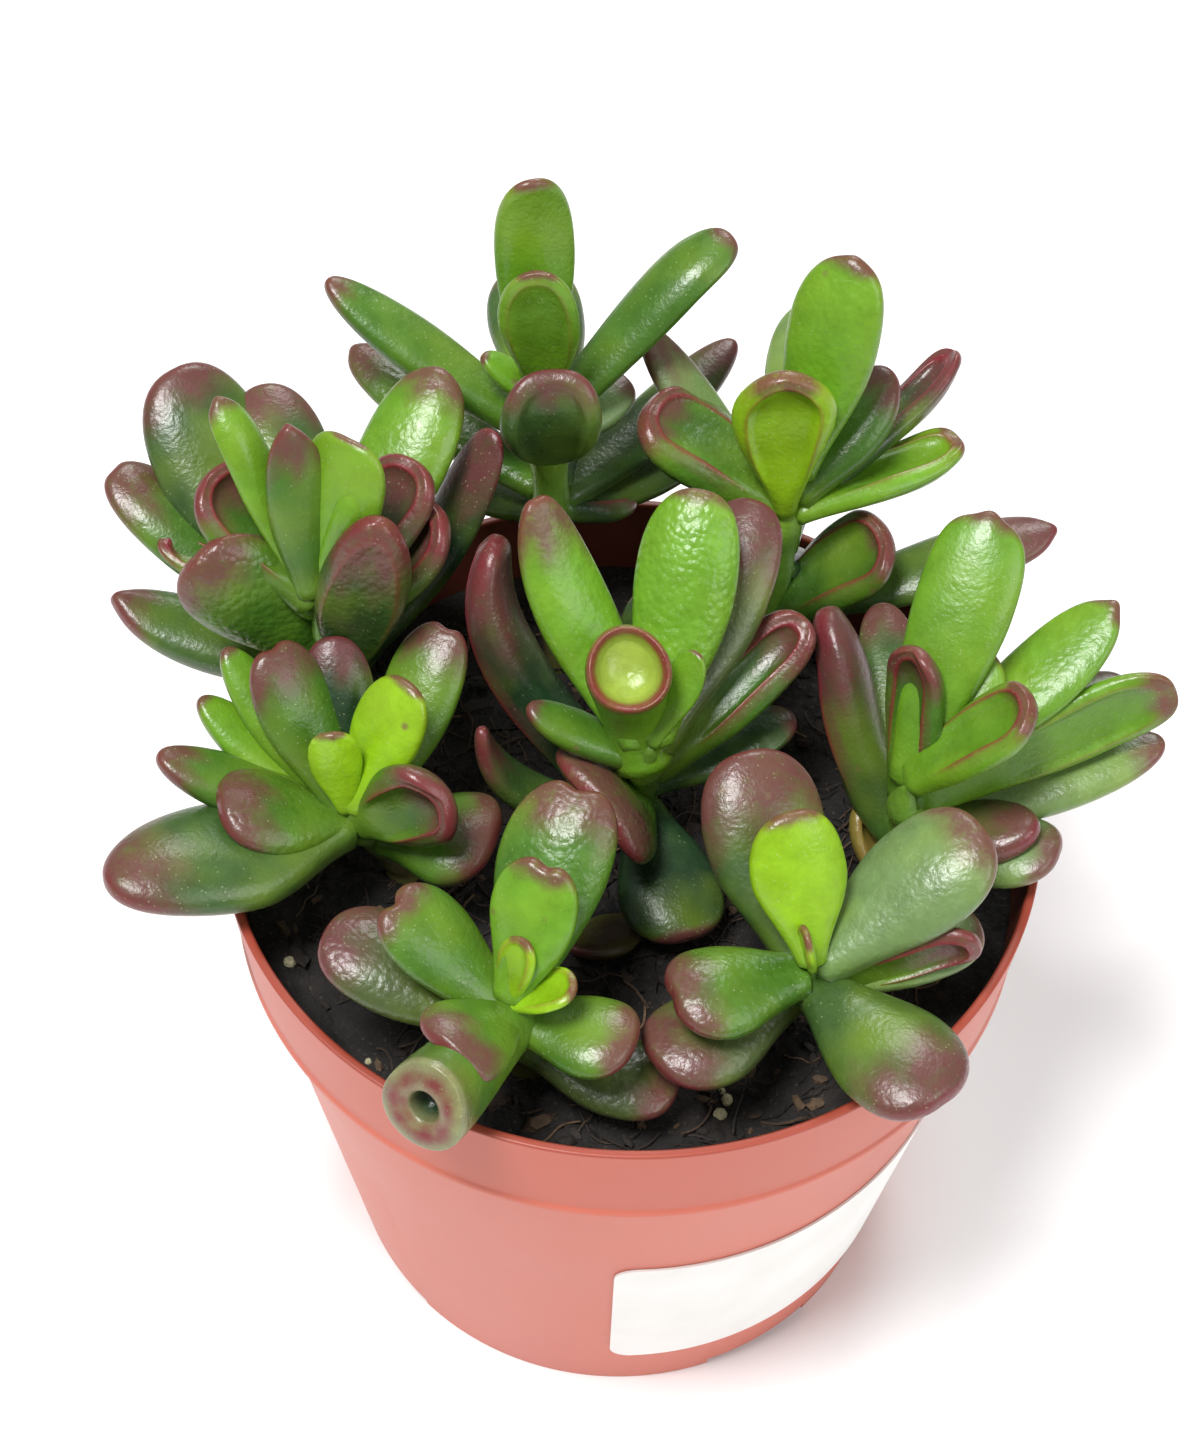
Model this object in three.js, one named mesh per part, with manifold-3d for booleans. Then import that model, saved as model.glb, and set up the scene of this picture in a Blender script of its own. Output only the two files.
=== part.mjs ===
// A potted hobbit jade: eight rooted cuttings with thick spoon-shaped leaves in a four inch nursery pot.
// Millimetres, +Z up. The origin is the middle of the pot's underside, and -Y is the side seen in front.
import * as THREE from 'three';
import { mergeVertices } from 'three/addons/utils/BufferGeometryUtils.js';
import Module from 'manifold-3d';

const wasm = await Module();
wasm.setup();

const { degToRad, lerp, smoothstep, clamp } = THREE.MathUtils;
const UP = new THREE.Vector3(0, 0, 1);

// Pot
const potHeight = 82.5;
const lipRadius = 51;
const footRadius = 37;
const wall = 1.2;
const floorThickness = 1.6;
const collarBottom = 66.5;
const collarRadius = 49.4;
const collarStep = 1.4;
const lipRound = 0.3;
const potSegments = 40;
const recessDepth = 2;
const recessSlope = 1;
const recessInner = 12;
const recessOuter = 29;
const notchCount = 4;
const notchFirstAngle = -55;
const notchSpan = 25;
const notchHeight = 1.8;
const drainCount = 4;
const drainRadius = 4;
const drainRing = 20;

// Space left between pieces that touch
const clearance = 0.3;

// Soil
const soilLevel = 71;
const soilRelief = 0.7;
const soilRings = [1, 0.84, 0.6, 0.32, 0];

// Label on the pot's wall, left bare
const labelLength = 101.6;
const labelHeight = 33.9;
const labelCorner = 3;
const labelThickness = 0.5;
const labelBottom = 10.6;
const labelStartAngle = -89;
const labelColumns = 14;

// Stems
const stemFoot = 57;
const stemSides = 8;
const stemSteps = 5;
const stemTaper = 0.72;

// How a leaf of each form is shaped. Angles are in degrees.
// fat: thickness to width, roll: how far the blade curls across, bend: how far it curves along,
// hook: an extra curve at the tip, neck: width at the stem to full width, blunt: squareness of the tip,
// belly: where along the leaf it is widest, mouth: size of a cup's dish to its end,
// sides: sides of its section.
const forms = {
  spoon: { fat: 0.4, roll: -50, bend: 22, hook: -15, neck: 0.5, blunt: 2.4, belly: 0.66, sides: 8 },
  rolled: { fat: 0.4, roll: -110, bend: 14, hook: -30, neck: 0.6, blunt: 2.8, belly: 0.7, sides: 8 },
  finger: { fat: 0.56, roll: -25, bend: 14, hook: 0, neck: 0.62, blunt: 2, belly: 0.55, sides: 6 },
  blade: { fat: 0.3, roll: -20, bend: 10, hook: 0, neck: 0.38, blunt: 2.3, belly: 0.64, sides: 6 },
  withered: { fat: 0.3, roll: 110, bend: 40, hook: 30, neck: 0.4, blunt: 1.8, belly: 0.5, sides: 8 },
  cup: { neck: 0.7, mouth: 0.78, sides: 12 },
};

// Shared by all leaves: the widest base, where the sections lie along the leaf, where its tip rounds off,
// its thickness and curl at the ends to those of its middle, how far each face stands from its middle,
// and how square its section is.
const widestNeck = 5;
const leafStations = [0, 0.27, 0.54, 0.76, 0.9, 0.975];
const tipStart = 0.72;
const thickAtBase = 0.75;
const thickAtTip = 0.65;
const curlAtBase = 0.15;
const innerFace = 0.9;
const outerFace = 1.1;
const sectionPower = 0.8;

// The cuttings. A stem is a list of points [x, y, z] from the foot to the crown, and radius is at the foot.
// A leaf is its form, its place along the stem (0 at the foot, 1 at the crown), its tip [x, y, z],
// its width, and what differs from the form.
const shoots = {
  shoot_back: {
    stem: [[-10, 32, stemFoot], [-10, 32, 73], [-12, 36, 95], [-13, 39, 113]],
    radius: 3,
    leaves: [
      ['blade', 1, [-15, 45, 143], 10, { fat: 0.34, hook: 20, neck: 0.6 }],
      ['blade', 1, [-14, 38, 135], 10, { turn: 45, roll: -50 }],
      ['finger', 0.9, [-41, 50, 121], 8],
      ['rolled', 0.94, [9, 55, 127], 8.5, { roll: -70 }],
      ['spoon', 0.94, [-16, 64, 112], 12.5],
      ['spoon', 0.88, [-12, 33, 124], 12.5, { bend: 80, hook: 30 }],
      ['finger', 1, [-21, 41, 118], 4.5],
      ['spoon', 0.88, [-3, 47, 109], 8],
      ['finger', 0.7, [11, 63, 101], 8],
      ['rolled', 0.7, [-3, 45, 91], 10, { turn: 180, roll: -80 }],
      ['spoon', 0.74, [-39, 56, 103], 9],
      ['spoon', 0.68, [-25, 47, 90], 8],
      ['spoon', 0.74, [-12, 64, 97], 11],
      ['spoon', 0.68, [6, 54, 90], 9],
    ],
  },
  shoot_back_right: {
    stem: [[16, 27, stemFoot], [16, 27, 73], [17, 32, 90], [18, 34, 105]],
    radius: 2.8,
    leaves: [
      ['spoon', 1, [24, 46, 132], 12, { roll: -30, neck: 0.72 }],
      ['spoon', 0.94, [23, 60, 112], 13.5],
      ['rolled', 0.9, [16, 34.5, 123], 13, { turn: 125, roll: -60, neck: 0.25, blunt: 2.1, belly: 0.8 }],
      ['finger', 0.94, [30, 47, 113], 10, { fat: 0.5 }],
      ['rolled', 0.87, [39, 56, 108], 8, { turn: 150 }],
      ['rolled', 0.9, [40, 45, 103], 9, { turn: 170 }],
      ['finger', 0.87, [-1.5, 50.5, 115], 7],
      ['rolled', 0.9, [0, 41.1, 111], 13, { turn: 180, roll: -80 }],
      ['rolled', 0.55, [30.7, 32.6, 98], 12.5, { turn: 190, roll: -80, belly: 0.75 }],
      ['spoon', 0.72, [22, 40, 84], 9],
      ['spoon', 0.58, [52.5, 38, 94], 9.5],
      ['spoon', 0.76, [20, 60, 96], 10],
    ],
  },
  shoot_right: {
    stem: [[34, -2, stemFoot], [34, -2, 73], [34, -3, 83], [33, -4, 94]],
    radius: 2.8,
    leaves: [
      ['finger', 0.94, [41, 18.5, 117], 12, { fat: 0.4, bend: -15, blunt: 3, belly: 0.7 }],
      ['blade', 0.97, [57, 14, 107], 10],
      ['blade', 1, [41.5, 8.5, 105], 10.5],
      ['rolled', 1, [46, -3, 109], 10.5, { turn: 180, roll: -80 }],
      ['rolled', 0.88, [65, 6.5, 101], 9.5, { turn: -112, roll: -50 }],
      ['spoon', 0.85, [60, 12, 96], 9],
      ['finger', 0.78, [65, 6, 92], 10, { fat: 0.4 }],
      ['rolled', 0.85, [32.5, 4, 109], 9, { turn: 128, roll: -130, hook: -40 }],
      ['rolled', 0.66, [22.7, 18.5, 99.5], 9, { turn: 60, roll: -60, bend: 50, fat: 0.8 }],
      ['finger', 0.72, [49, -8, 91], 9.5],
      ['spoon', 0.66, [52, -9, 88], 11],
      ['spoon', 0.72, [31, 27, 91], 8],
      ['withered', 0.5, [30.5, 2, 80], 8],
    ],
  },
  shoot_centre: {
    stem: [[1, 4, stemFoot], [1, 4, 73], [1, 1, 85], [2, -3, 97]],
    radius: 2.8,
    leaves: [
      ['finger', 0.97, [-13, 17, 119], 10, { fat: 0.45, bend: 45 }],
      ['spoon', 0.97, [7, 20, 118], 12.5],
      ['spoon', 0.92, [14, 25, 111], 12],
      ['cup', 0.85, [-1, -1, 109], 10.5, { face: [0.05, -0.6, 0.8] }],
      ['blade', 1, [7, 4, 107], 5],
      ['rolled', 0.76, [20.5, 14, 102], 9, { turn: 200, roll: -130, fat: 0.5 }],
      ['rolled', 0.62, [-17.5, 18, 110], 9.5, { turn: 45, roll: -60, bend: 60, hook: 20, fat: 0.8 }],
      ['finger', 0.88, [-13, 1, 99], 6],
      ['finger', 0.5, [-18.5, 1, 94], 6.5, { bend: 100 }],
      ['spoon', 0.55, [8, -16, 76], 13],
      ['spoon', 0.66, [20, 11, 87], 7.5],
      ['spoon', 0.6, [-4, -8, 92], 18, { turn: -28, fat: 0.28, roll: -40, blunt: 3 }],
      ['spoon', 0.72, [3, 31, 88], 11],
    ],
  },
  shoot_back_left: {
    stem: [[-32, 13, stemFoot], [-32, 13, 73], [-36, 13, 90], [-39, 11, 105]],
    radius: 2.8,
    leaves: [
      ['spoon', 0.88, [-59, 37, 117], 16, { bend: 50 }],
      ['spoon', 0.94, [-48, 39, 113], 12],
      ['rolled', 1, [-51, 23, 126], 6],
      ['finger', 1, [-42, 18, 127], 8],
      ['blade', 1, [-35, 18, 126], 11.5, { blunt: 3 }],
      ['spoon', 0.9, [-26, 38, 118], 12],
      ['rolled', 0.94, [-27.7, 23.2, 117], 11, { turn: 180, roll: -80 }],
      ['rolled', 1, [-33, 15, 121], 5, { turn: 60 }],
      ['spoon', 0.7, [-19, 33, 113], 7.5, { bend: 65 }],
      ['finger', 0.72, [-31, 11, 120], 11, { turn: -75, bend: 24 }],
      ['rolled', 0.82, [-25, 19.5, 113], 11.5, { turn: 180, roll: -80 }],
      ['rolled', 0.97, [-52, 20, 117], 12, { turn: 180, roll: -80 }],
      ['spoon', 0.82, [-66, 27, 109], 10.5],
      ['rolled', 0.94, [-59, 19, 106], 5.5, { turn: 180, roll: -60 }],
      ['spoon', 0.72, [-53, 10.5, 112.5], 14, { turn: -70 }],
      ['finger', 0.7, [-65, 17.5, 96], 10, { bend: 40 }],
      ['spoon', 0.74, [-42, 44, 94], 11],
      ['spoon', 0.68, [-30, 38, 86], 9],
    ],
  },
  shoot_left: {
    stem: [[-28, -4, stemFoot], [-28, -4, 73], [-31, -6, 81], [-34, -9, 89]],
    radius: 2.8,
    leaves: [
      ['blade', 1, [-27, -1, 105], 10, { fat: 0.34 }],
      ['blade', 1, [-36, -7, 102], 6.5, { turn: -40, roll: -50 }],
      ['spoon', 0.95, [-44, 3.5, 105], 10],
      ['spoon', 0.95, [-37, 7.5, 102.5], 8.5],
      ['finger', 0.9, [-50, 6, 101], 7],
      ['finger', 0.86, [-53, 2, 96], 7],
      ['spoon', 0.9, [-23, 11.5, 101], 10],
      ['finger', 0.9, [-57, -6, 95], 8],
      ['spoon', 0.9, [-49, -12, 93.5], 12.5],
      ['spoon', 0.9, [-61.2, -22.8, 91.5], 16, { belly: 0.5, blunt: 2.1 }],
      ['rolled', 0.92, [-22, -13, 98], 12, { turn: -100 }],
      ['spoon', 0.76, [-16, -9, 86], 14],
    ],
  },
  shoot_front_left: {
    stem: [[-11, -31, stemFoot], [-11, -31, 73], [-12, -34, 81], [-13, -36, 90]],
    radius: 2.8,
    leaves: [
      ['spoon', 0.95, [-6, -14, 104], 13.5],
      ['blade', 1, [-9, -27, 106], 10.5, { fat: 0.36 }],
      ['spoon', 0.95, [-27, -28, 99], 11],
      ['blade', 1, [-11.3, -32.8, 99], 5.5, { turn: 165, roll: -50 }],
      ['blade', 1, [-5.1, -36.2, 95], 6, { turn: 180, roll: -50 }],
      ['spoon', 0.88, [2, -39, 88], 11],
      ['spoon', 0.95, [-19, -45.9, 95], 11.5, { turn: -15, fat: 0.34, roll: -60, blunt: 3 }],
      ['cup', 0.9, [-21.3, -50.9, 91.5], 11, { face: [-0.45, -0.8, 0.3], mouth: 0.38 }],
      ['spoon', 0.84, [-35, -27, 90], 13],
      ['spoon', 0.66, [7, -39, 77], 11],
    ],
  },
  shoot_front_right: {
    stem: [[19, -22, stemFoot], [19, -22, 73], [21, -26, 81], [22, -29, 90]],
    radius: 2.8,
    leaves: [
      ['blade', 1, [18.5, -19, 107], 11.5, { fat: 0.36, neck: 0.3, belly: 0.6 }],
      ['spoon', 0.88, [13, -6, 101], 15],
      ['spoon', 0.95, [40.6, -15.8, 102], 14.5],
      ['spoon', 0.84, [42, -21, 89], 10],
      ['spoon', 0.95, [5.5, -34.5, 91], 12.5],
      ['spoon', 0.8, [4, -39, 84], 13],
      ['spoon', 0.88, [37, -46, 90], 15],
      ['rolled', 0.85, [41.2, -26.6, 93], 6.5, { turn: -95, roll: -60, fat: 0.55 }],
      ['blade', 1, [20.7, -29.4, 98], 4.5],
    ],
  },
};

// Closed solids

function solidOf(geometry) {
  return new wasm.Manifold(new wasm.Mesh({
    numProp: 3,
    vertProperties: new Float32Array(geometry.getAttribute('position').array),
    triVerts: new Uint32Array(geometry.getIndex().array),
  }));
}

function geometryOf(solid) {
  const mesh = solid.getMesh();
  const geometry = new THREE.BufferGeometry();
  geometry.setAttribute('position', new THREE.BufferAttribute(new Float32Array(mesh.vertProperties), 3));
  geometry.setIndex(new THREE.BufferAttribute(new Uint32Array(mesh.triVerts), 1));
  geometry.computeVertexNormals();
  return geometry;
}

// Only the positions matter to a solid, and vertices along a seam are the same point.
function welded(geometry) {
  const bare = geometry.clone();
  bare.deleteAttribute('normal');
  bare.deleteAttribute('uv');
  return mergeVertices(bare);
}

// A closed skin over rings of points, all with the same number of points, from one end point to the other.
function skin(rings, firstEnd, lastEnd) {
  const count = rings[0].length;
  const points = [firstEnd, ...rings.flat(), lastEnd];
  const index = [];
  const at = (ring, k) => 1 + ring * count + (k % count);
  for (let k = 0; k < count; k += 1) {
    index.push(0, at(0, k + 1), at(0, k));
    for (let ring = 0; ring < rings.length - 1; ring += 1) {
      index.push(at(ring, k), at(ring, k + 1), at(ring + 1, k + 1));
      index.push(at(ring, k), at(ring + 1, k + 1), at(ring + 1, k));
    }
    index.push(at(rings.length - 1, k), at(rings.length - 1, k + 1), points.length - 1);
  }
  const geometry = new THREE.BufferGeometry().setFromPoints(points);
  geometry.setIndex(index);
  return geometry;
}

function middleOf(ring) {
  const sum = new THREE.Vector3();
  ring.forEach((point) => sum.add(point));
  return sum.divideScalar(ring.length);
}

// A solid of revolution about Z from a closed outline of [radius, height] points.
function turned(outline, segments) {
  const profile = outline.map(([radius, height]) => new THREE.Vector2(radius, height));
  const lathe = new THREE.LatheGeometry(profile, segments);
  lathe.rotateX(Math.PI / 2);
  return welded(lathe);
}

function uprightCylinder(radius, bottom, top, x, y, segments = 16) {
  const cylinder = new THREE.CylinderGeometry(radius, radius, top - bottom, segments);
  cylinder.rotateX(Math.PI / 2);
  cylinder.translate(x, y, (bottom + top) / 2);
  return solidOf(welded(cylinder));
}

// Pot

const bodyTopRadius = collarRadius - collarStep;
const bodySlope = (bodyTopRadius - footRadius) / collarBottom;
const collarSlope = (lipRadius - collarRadius) / (potHeight - collarBottom);
const outerRadius = (z) => footRadius + bodySlope * z;
const innerRadius = (z) => (z < collarBottom
  ? outerRadius(z) - wall
  : collarRadius - wall + collarSlope * (z - collarBottom));
const floorTop = recessDepth + floorThickness;

function potGeometry() {
  const outline = [
    [0, 0],
    [recessInner, 0],
    [recessInner + recessSlope, recessDepth],
    [recessOuter, recessDepth],
    [recessOuter + recessSlope, 0],
    [footRadius, 0],
    [bodyTopRadius, collarBottom],
    [collarRadius, collarBottom],
    [lipRadius, potHeight - lipRound],
    [lipRadius - lipRound, potHeight],
    [lipRadius - wall + lipRound, potHeight],
    [lipRadius - wall, potHeight - lipRound],
    [collarRadius - wall, collarBottom + wall],
    [bodyTopRadius - wall, collarBottom],
    [innerRadius(floorTop), floorTop],
    [0, floorTop],
    [0, 0],
  ];
  let pot = solidOf(turned(outline, potSegments));
  for (let k = 0; k < notchCount; k += 1) {
    pot = pot.subtract(footNotch(notchFirstAngle + (360 / notchCount) * k));
    const angle = degToRad(notchFirstAngle + (360 / drainCount) * k);
    const [x, y] = [drainRing * Math.cos(angle), drainRing * Math.sin(angle)];
    pot = pot.subtract(uprightCylinder(drainRadius, -1, floorTop + 1, x, y));
  }
  return geometryOf(pot);
}

// A wedge that cuts one low gap through the foot ring, for water to run out.
function footNotch(middleAngle) {
  const reach = footRadius * 1.3;
  const start = recessInner + recessDepth;
  const half = degToRad(notchSpan / 2);
  const middle = degToRad(middleAngle);
  const corner = (radius, angle) => new THREE.Vector2(
    radius * Math.cos(middle + angle), radius * Math.sin(middle + angle));
  const plan = new THREE.Shape([
    corner(start, -half),
    corner(reach, -half),
    corner(reach, half),
    corner(start, half),
  ]);
  const wedge = new THREE.ExtrudeGeometry(plan, { depth: notchHeight + 1, bevelEnabled: false });
  wedge.translate(0, 0, -1);
  return solidOf(welded(wedge));
}

// Soil

function soilHeight(x, y) {
  const swell = Math.sin(0.19 * x + 0.7) * Math.cos(0.16 * y - 0.4);
  const lumps = Math.sin(0.61 * x - 0.35 * y) * Math.cos(0.47 * y + 0.29 * x);
  return soilLevel + soilRelief * (0.7 * swell + 0.5 * lumps);
}

function soilGeometry() {
  const radiusAt = (z) => innerRadius(z) - clearance;
  const bottom = floorTop + clearance;
  const edge = radiusAt(soilLevel);
  const outline = [
    [0, bottom],
    [radiusAt(bottom), bottom],
    [bodyTopRadius - wall - clearance, collarBottom],
    [collarRadius - wall - clearance, collarBottom + wall + clearance],
    ...soilRings.map((part) => [edge * part, soilLevel]),
    [0, bottom],
  ];
  const lump = turned(outline, potSegments);
  const position = lump.getAttribute('position');
  for (let k = 0; k < position.count; k += 1) {
    const [x, y, z] = [position.getX(k), position.getY(k), position.getZ(k)];
    if (Math.abs(z - soilLevel) < 0.01) {
      position.setZ(k, soilHeight(x, y));
    }
  }
  let soil = solidOf(lump);
  Object.values(shoots).forEach(({ stem, radius }) => {
    const [x, y] = stem[0];
    const hole = uprightCylinder(radius + 2 * clearance, stemFoot - clearance, soilLevel + 5, x, y, 12);
    soil = soil.subtract(hole);
  });
  return geometryOf(soil);
}

// Label

function labelGeometry() {
  const slope = Math.atan(bodySlope);
  const middleRadius = outerRadius(labelBottom + (labelHeight / 2) * Math.cos(slope));
  const corner = [0, 0.06, 0.25, 0.55, 1].map((part) => part * labelCorner);
  const between = Array.from({ length: labelColumns - 1 }, (_, k) => (
    lerp(labelCorner, labelLength - labelCorner, (k + 1) / labelColumns)));
  const stations = [...corner, ...between, ...corner.toReversed().map((along) => labelLength - along)];
  const rings = stations.map((along) => {
    const fromEnd = Math.min(along, labelLength - along, labelCorner);
    const cut = labelCorner - Math.sqrt(labelCorner ** 2 - (labelCorner - fromEnd) ** 2);
    const angle = degToRad(labelStartAngle) + along / middleRadius;
    const point = (up, out) => {
      const z = labelBottom + up * Math.cos(slope) - out * Math.sin(slope);
      const radius = outerRadius(labelBottom) + up * Math.sin(slope) + out * Math.cos(slope);
      return new THREE.Vector3(radius * Math.cos(angle), radius * Math.sin(angle), z);
    };
    const outside = clearance + labelThickness;
    return [
      point(cut, clearance),
      point(labelHeight - cut, clearance),
      point(labelHeight - cut, outside),
      point(cut, outside),
    ];
  });
  return skin(rings, middleOf(rings[0]), middleOf(rings.at(-1)));
}

// Stems

function pointOnStem(points, part) {
  const lengths = points.slice(1).map((point, k) => point.distanceTo(points[k]));
  let left = part * lengths.reduce((sum, length) => sum + length, 0);
  for (let k = 0; k < lengths.length; k += 1) {
    if (left <= lengths[k] || k === lengths.length - 1) {
      return points[k].clone().lerp(points[k + 1], Math.min(left / lengths[k], 1));
    }
    left -= lengths[k];
  }
  return points.at(-1).clone();
}

function stemGeometry(points, radius) {
  const rings = [];
  for (let step = 0; step <= stemSteps; step += 1) {
    const part = step / stemSteps;
    const centre = pointOnStem(points, part);
    const ahead = pointOnStem(points, Math.min(part + 0.05, 1));
    const behind = pointOnStem(points, Math.max(part - 0.05, 0));
    const along = ahead.sub(behind).normalize();
    const across = new THREE.Vector3(1, 0, 0).addScaledVector(along, -along.x).normalize();
    const size = radius * lerp(1, stemTaper, part);
    rings.push(ringAround(centre, across, along, size, stemSides));
  }
  return skin(rings, middleOf(rings[0]), middleOf(rings.at(-1)));
}

function ringAround(centre, across, along, size, sides) {
  const other = along.clone().cross(across);
  return Array.from({ length: sides }, (_, k) => {
    const angle = (2 * Math.PI * k) / sides;
    return centre.clone()
      .addScaledVector(across, size * Math.cos(angle))
      .addScaledVector(other, size * Math.sin(angle));
  });
}

// Leaves

// Width along the leaf as a part of its greatest width. It swells to the belly, then rounds off to the tip.
function planWidth(t, { neck, belly, blunt }) {
  if (t < belly) {
    return neck + (1 - neck) * smoothstep(t / belly, 0, 1);
  }
  return (1 - ((t - belly) / (1 - belly)) ** blunt) ** (1 / blunt);
}

// Thickness along the leaf as a part of its greatest thickness. It fills out, thins, then rounds off.
function planThickness(t) {
  const swell = lerp(thickAtBase, 1, smoothstep(t, 0, 0.35));
  const thinning = lerp(1, thickAtTip, smoothstep(t, 0.55, 1));
  const rounded = (1 - clamp((t - tipStart) / (1 - tipStart), 0, 1) ** 3) ** (1 / 3);
  return swell * thinning * rounded;
}

// The leaf's middle line in its own plane: where it is at t, and its heading there.
function spineAt(t, { bend, hook }) {
  const heading = (s) => degToRad(bend) * (s - 0.5) + degToRad(hook) * smoothstep(s, 0.62, 1);
  const steps = 40;
  const spot = new THREE.Vector2();
  for (let k = 0; k < steps; k += 1) {
    const angle = heading((t * (k + 0.5)) / steps);
    spot.x += (Math.cos(angle) * t) / steps;
    spot.y += (Math.sin(angle) * t) / steps;
  }
  return { spot, heading: heading(t) };
}

// Signed power, which squares off a round section a little.
const squared = (value) => Math.sign(value) * Math.abs(value) ** sectionPower;

function leafGeometry(base, tip, width, form) {
  const chord = tip.clone().sub(base);
  const along = chord.clone().normalize();
  const inner = UP.clone().addScaledVector(along, -along.z).normalize();
  inner.applyAxisAngle(along, degToRad(form.turn ?? 0));
  const side = inner.clone().cross(along);
  const end = spineAt(1, form).spot;
  const scale = chord.length() / end.length();
  const lean = Math.atan2(end.y, end.x);
  const shape = { ...form, neck: Math.min(form.neck, widestNeck / width) };

  const rings = leafStations.map((t) => {
    const { spot, heading } = spineAt(t, form);
    spot.rotateAround(new THREE.Vector2(), -lean).multiplyScalar(scale);
    const angle = heading - lean;
    const outward = inner.clone().multiplyScalar(Math.cos(angle)).addScaledVector(along, -Math.sin(angle));
    const centre = base.clone().addScaledVector(along, spot.x).addScaledVector(inner, spot.y);
    const half = (width / 2) * planWidth(t, shape);
    const thick = ((form.fat * width) / 2) * planThickness(t);
    const curl = degToRad(form.roll / 2) * lerp(curlAtBase, 1, smoothstep(t, 0.05, 0.8));
    return leafSection(centre, side, outward, half, thick, curl, form.sides);
  });
  return skin(rings, middleOf(rings[0]), tip);
}

// One section of a leaf: its middle line is an arc that turns by curl to each side.
// The inner face is a little flatter than the outer one, and stays clear of the arc's centre.
function leafSection(centre, side, outward, half, thick, curl, sides) {
  const radius = half / curl;
  const room = 0.75 * Math.abs(radius);
  const innerThick = Math.min(innerFace * thick, room);
  const outerThick = Math.min(outerFace * thick, room);
  const sink = 0.25 * radius * (1 - Math.cos(curl));
  return Array.from({ length: sides }, (_, k) => {
    const turn = (2 * Math.PI * k) / sides;
    const across = squared(Math.cos(turn)) * curl;
    const lift = squared(Math.sin(turn));
    const off = lift * (lift > 0 ? innerThick : outerThick);
    return centre.clone()
      .addScaledVector(side, (radius - off) * Math.sin(across))
      .addScaledVector(outward, radius * (1 - Math.cos(across)) + off * Math.cos(across) - sink);
  });
}

// A tubular leaf that ends in a dish: rings up the outside, over the lip and down into the dish.
function cupGeometry(base, tip, width, form) {
  const face = new THREE.Vector3(...form.face).normalize();
  const middle = tip.clone().addScaledVector(face, -0.5 * tip.distanceTo(base));
  const path = new THREE.QuadraticBezierCurve3(base, middle, tip);
  const outside = [0, 0.25, 0.5, 0.7, 0.86, 0.96].map((t) => (
    [t, lerp(form.neck, 1, smoothstep(t, 0, 1)), 0]));
  const { mouth } = form;
  const dish = [
    [1, 0.97, 0.03],
    [1, (1 + mouth) / 2, 0.045],
    [1, mouth, 0],
    [1, 0.8 * mouth, -0.13],
    [1, 0.46 * mouth, -0.22],
  ];
  const dishDepth = 0.25;
  let across = face.clone().cross(UP).normalize();
  const rings = [...outside, ...dish].map(([t, size, lift]) => {
    const along = t < 1 ? path.getTangent(t) : face;
    across = across.clone().addScaledVector(along, -along.dot(across)).normalize();
    const centre = path.getPoint(t).addScaledVector(face, lift * width);
    return ringAround(centre, across, along, (width / 2) * size, form.sides);
  });
  return skin(rings, base, tip.clone().addScaledVector(face, -dishDepth * width));
}

// A cutting is one solid: its leaves grow out of its stem.
function shootGeometry({ stem, radius, leaves }) {
  const points = stem.map((point) => new THREE.Vector3(...point));
  let shoot = solidOf(stemGeometry(points, radius));
  leaves.forEach(([formName, part, tip, width, change]) => {
    const form = { ...forms[formName], ...change };
    const make = formName === 'cup' ? cupGeometry : leafGeometry;
    const leaf = make(pointOnStem(points, part), new THREE.Vector3(...tip), width, form);
    shoot = shoot.add(solidOf(leaf));
  });
  return geometryOf(shoot);
}

// Materials

const terracottaPlastic = new THREE.MeshStandardMaterial({ color: '#c8705c', roughness: 0.5, metalness: 0 });
const pottingSoil = new THREE.MeshStandardMaterial({ color: '#33291f', roughness: 0.95, metalness: 0 });
const labelPaper = new THREE.MeshStandardMaterial({ color: '#f7f6f2', roughness: 0.6, metalness: 0 });
const jadeLeaf = new THREE.MeshStandardMaterial({ color: '#5f8f2f', roughness: 0.35, metalness: 0 });

// The assembly

const plant = new THREE.Group();

function addPiece(name, geometry, material) {
  const mesh = new THREE.Mesh(geometry, material);
  mesh.name = name;
  plant.add(mesh);
}

addPiece('pot', potGeometry(), terracottaPlastic);
addPiece('soil', soilGeometry(), pottingSoil);
addPiece('label', labelGeometry(), labelPaper);
Object.entries(shoots).forEach(([name, shoot]) => addPiece(name, shootGeometry(shoot), jadeLeaf));

export default plant;
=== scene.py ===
import math

import bpy
import numpy as np
from mathutils import Matrix, Vector, noise


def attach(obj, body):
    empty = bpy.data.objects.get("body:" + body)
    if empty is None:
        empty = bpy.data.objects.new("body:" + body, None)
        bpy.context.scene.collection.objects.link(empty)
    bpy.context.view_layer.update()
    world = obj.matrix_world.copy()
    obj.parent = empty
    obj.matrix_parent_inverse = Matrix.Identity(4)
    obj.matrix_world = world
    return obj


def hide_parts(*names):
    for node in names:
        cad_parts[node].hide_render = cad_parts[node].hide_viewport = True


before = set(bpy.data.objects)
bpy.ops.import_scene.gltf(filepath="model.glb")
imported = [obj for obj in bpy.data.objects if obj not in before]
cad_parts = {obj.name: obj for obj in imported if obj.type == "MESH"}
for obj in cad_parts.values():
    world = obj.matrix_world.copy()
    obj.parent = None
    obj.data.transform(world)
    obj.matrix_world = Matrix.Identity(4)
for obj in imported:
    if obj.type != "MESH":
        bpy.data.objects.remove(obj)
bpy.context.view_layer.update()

MM = 0.001
rng = np.random.default_rng(27)

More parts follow.
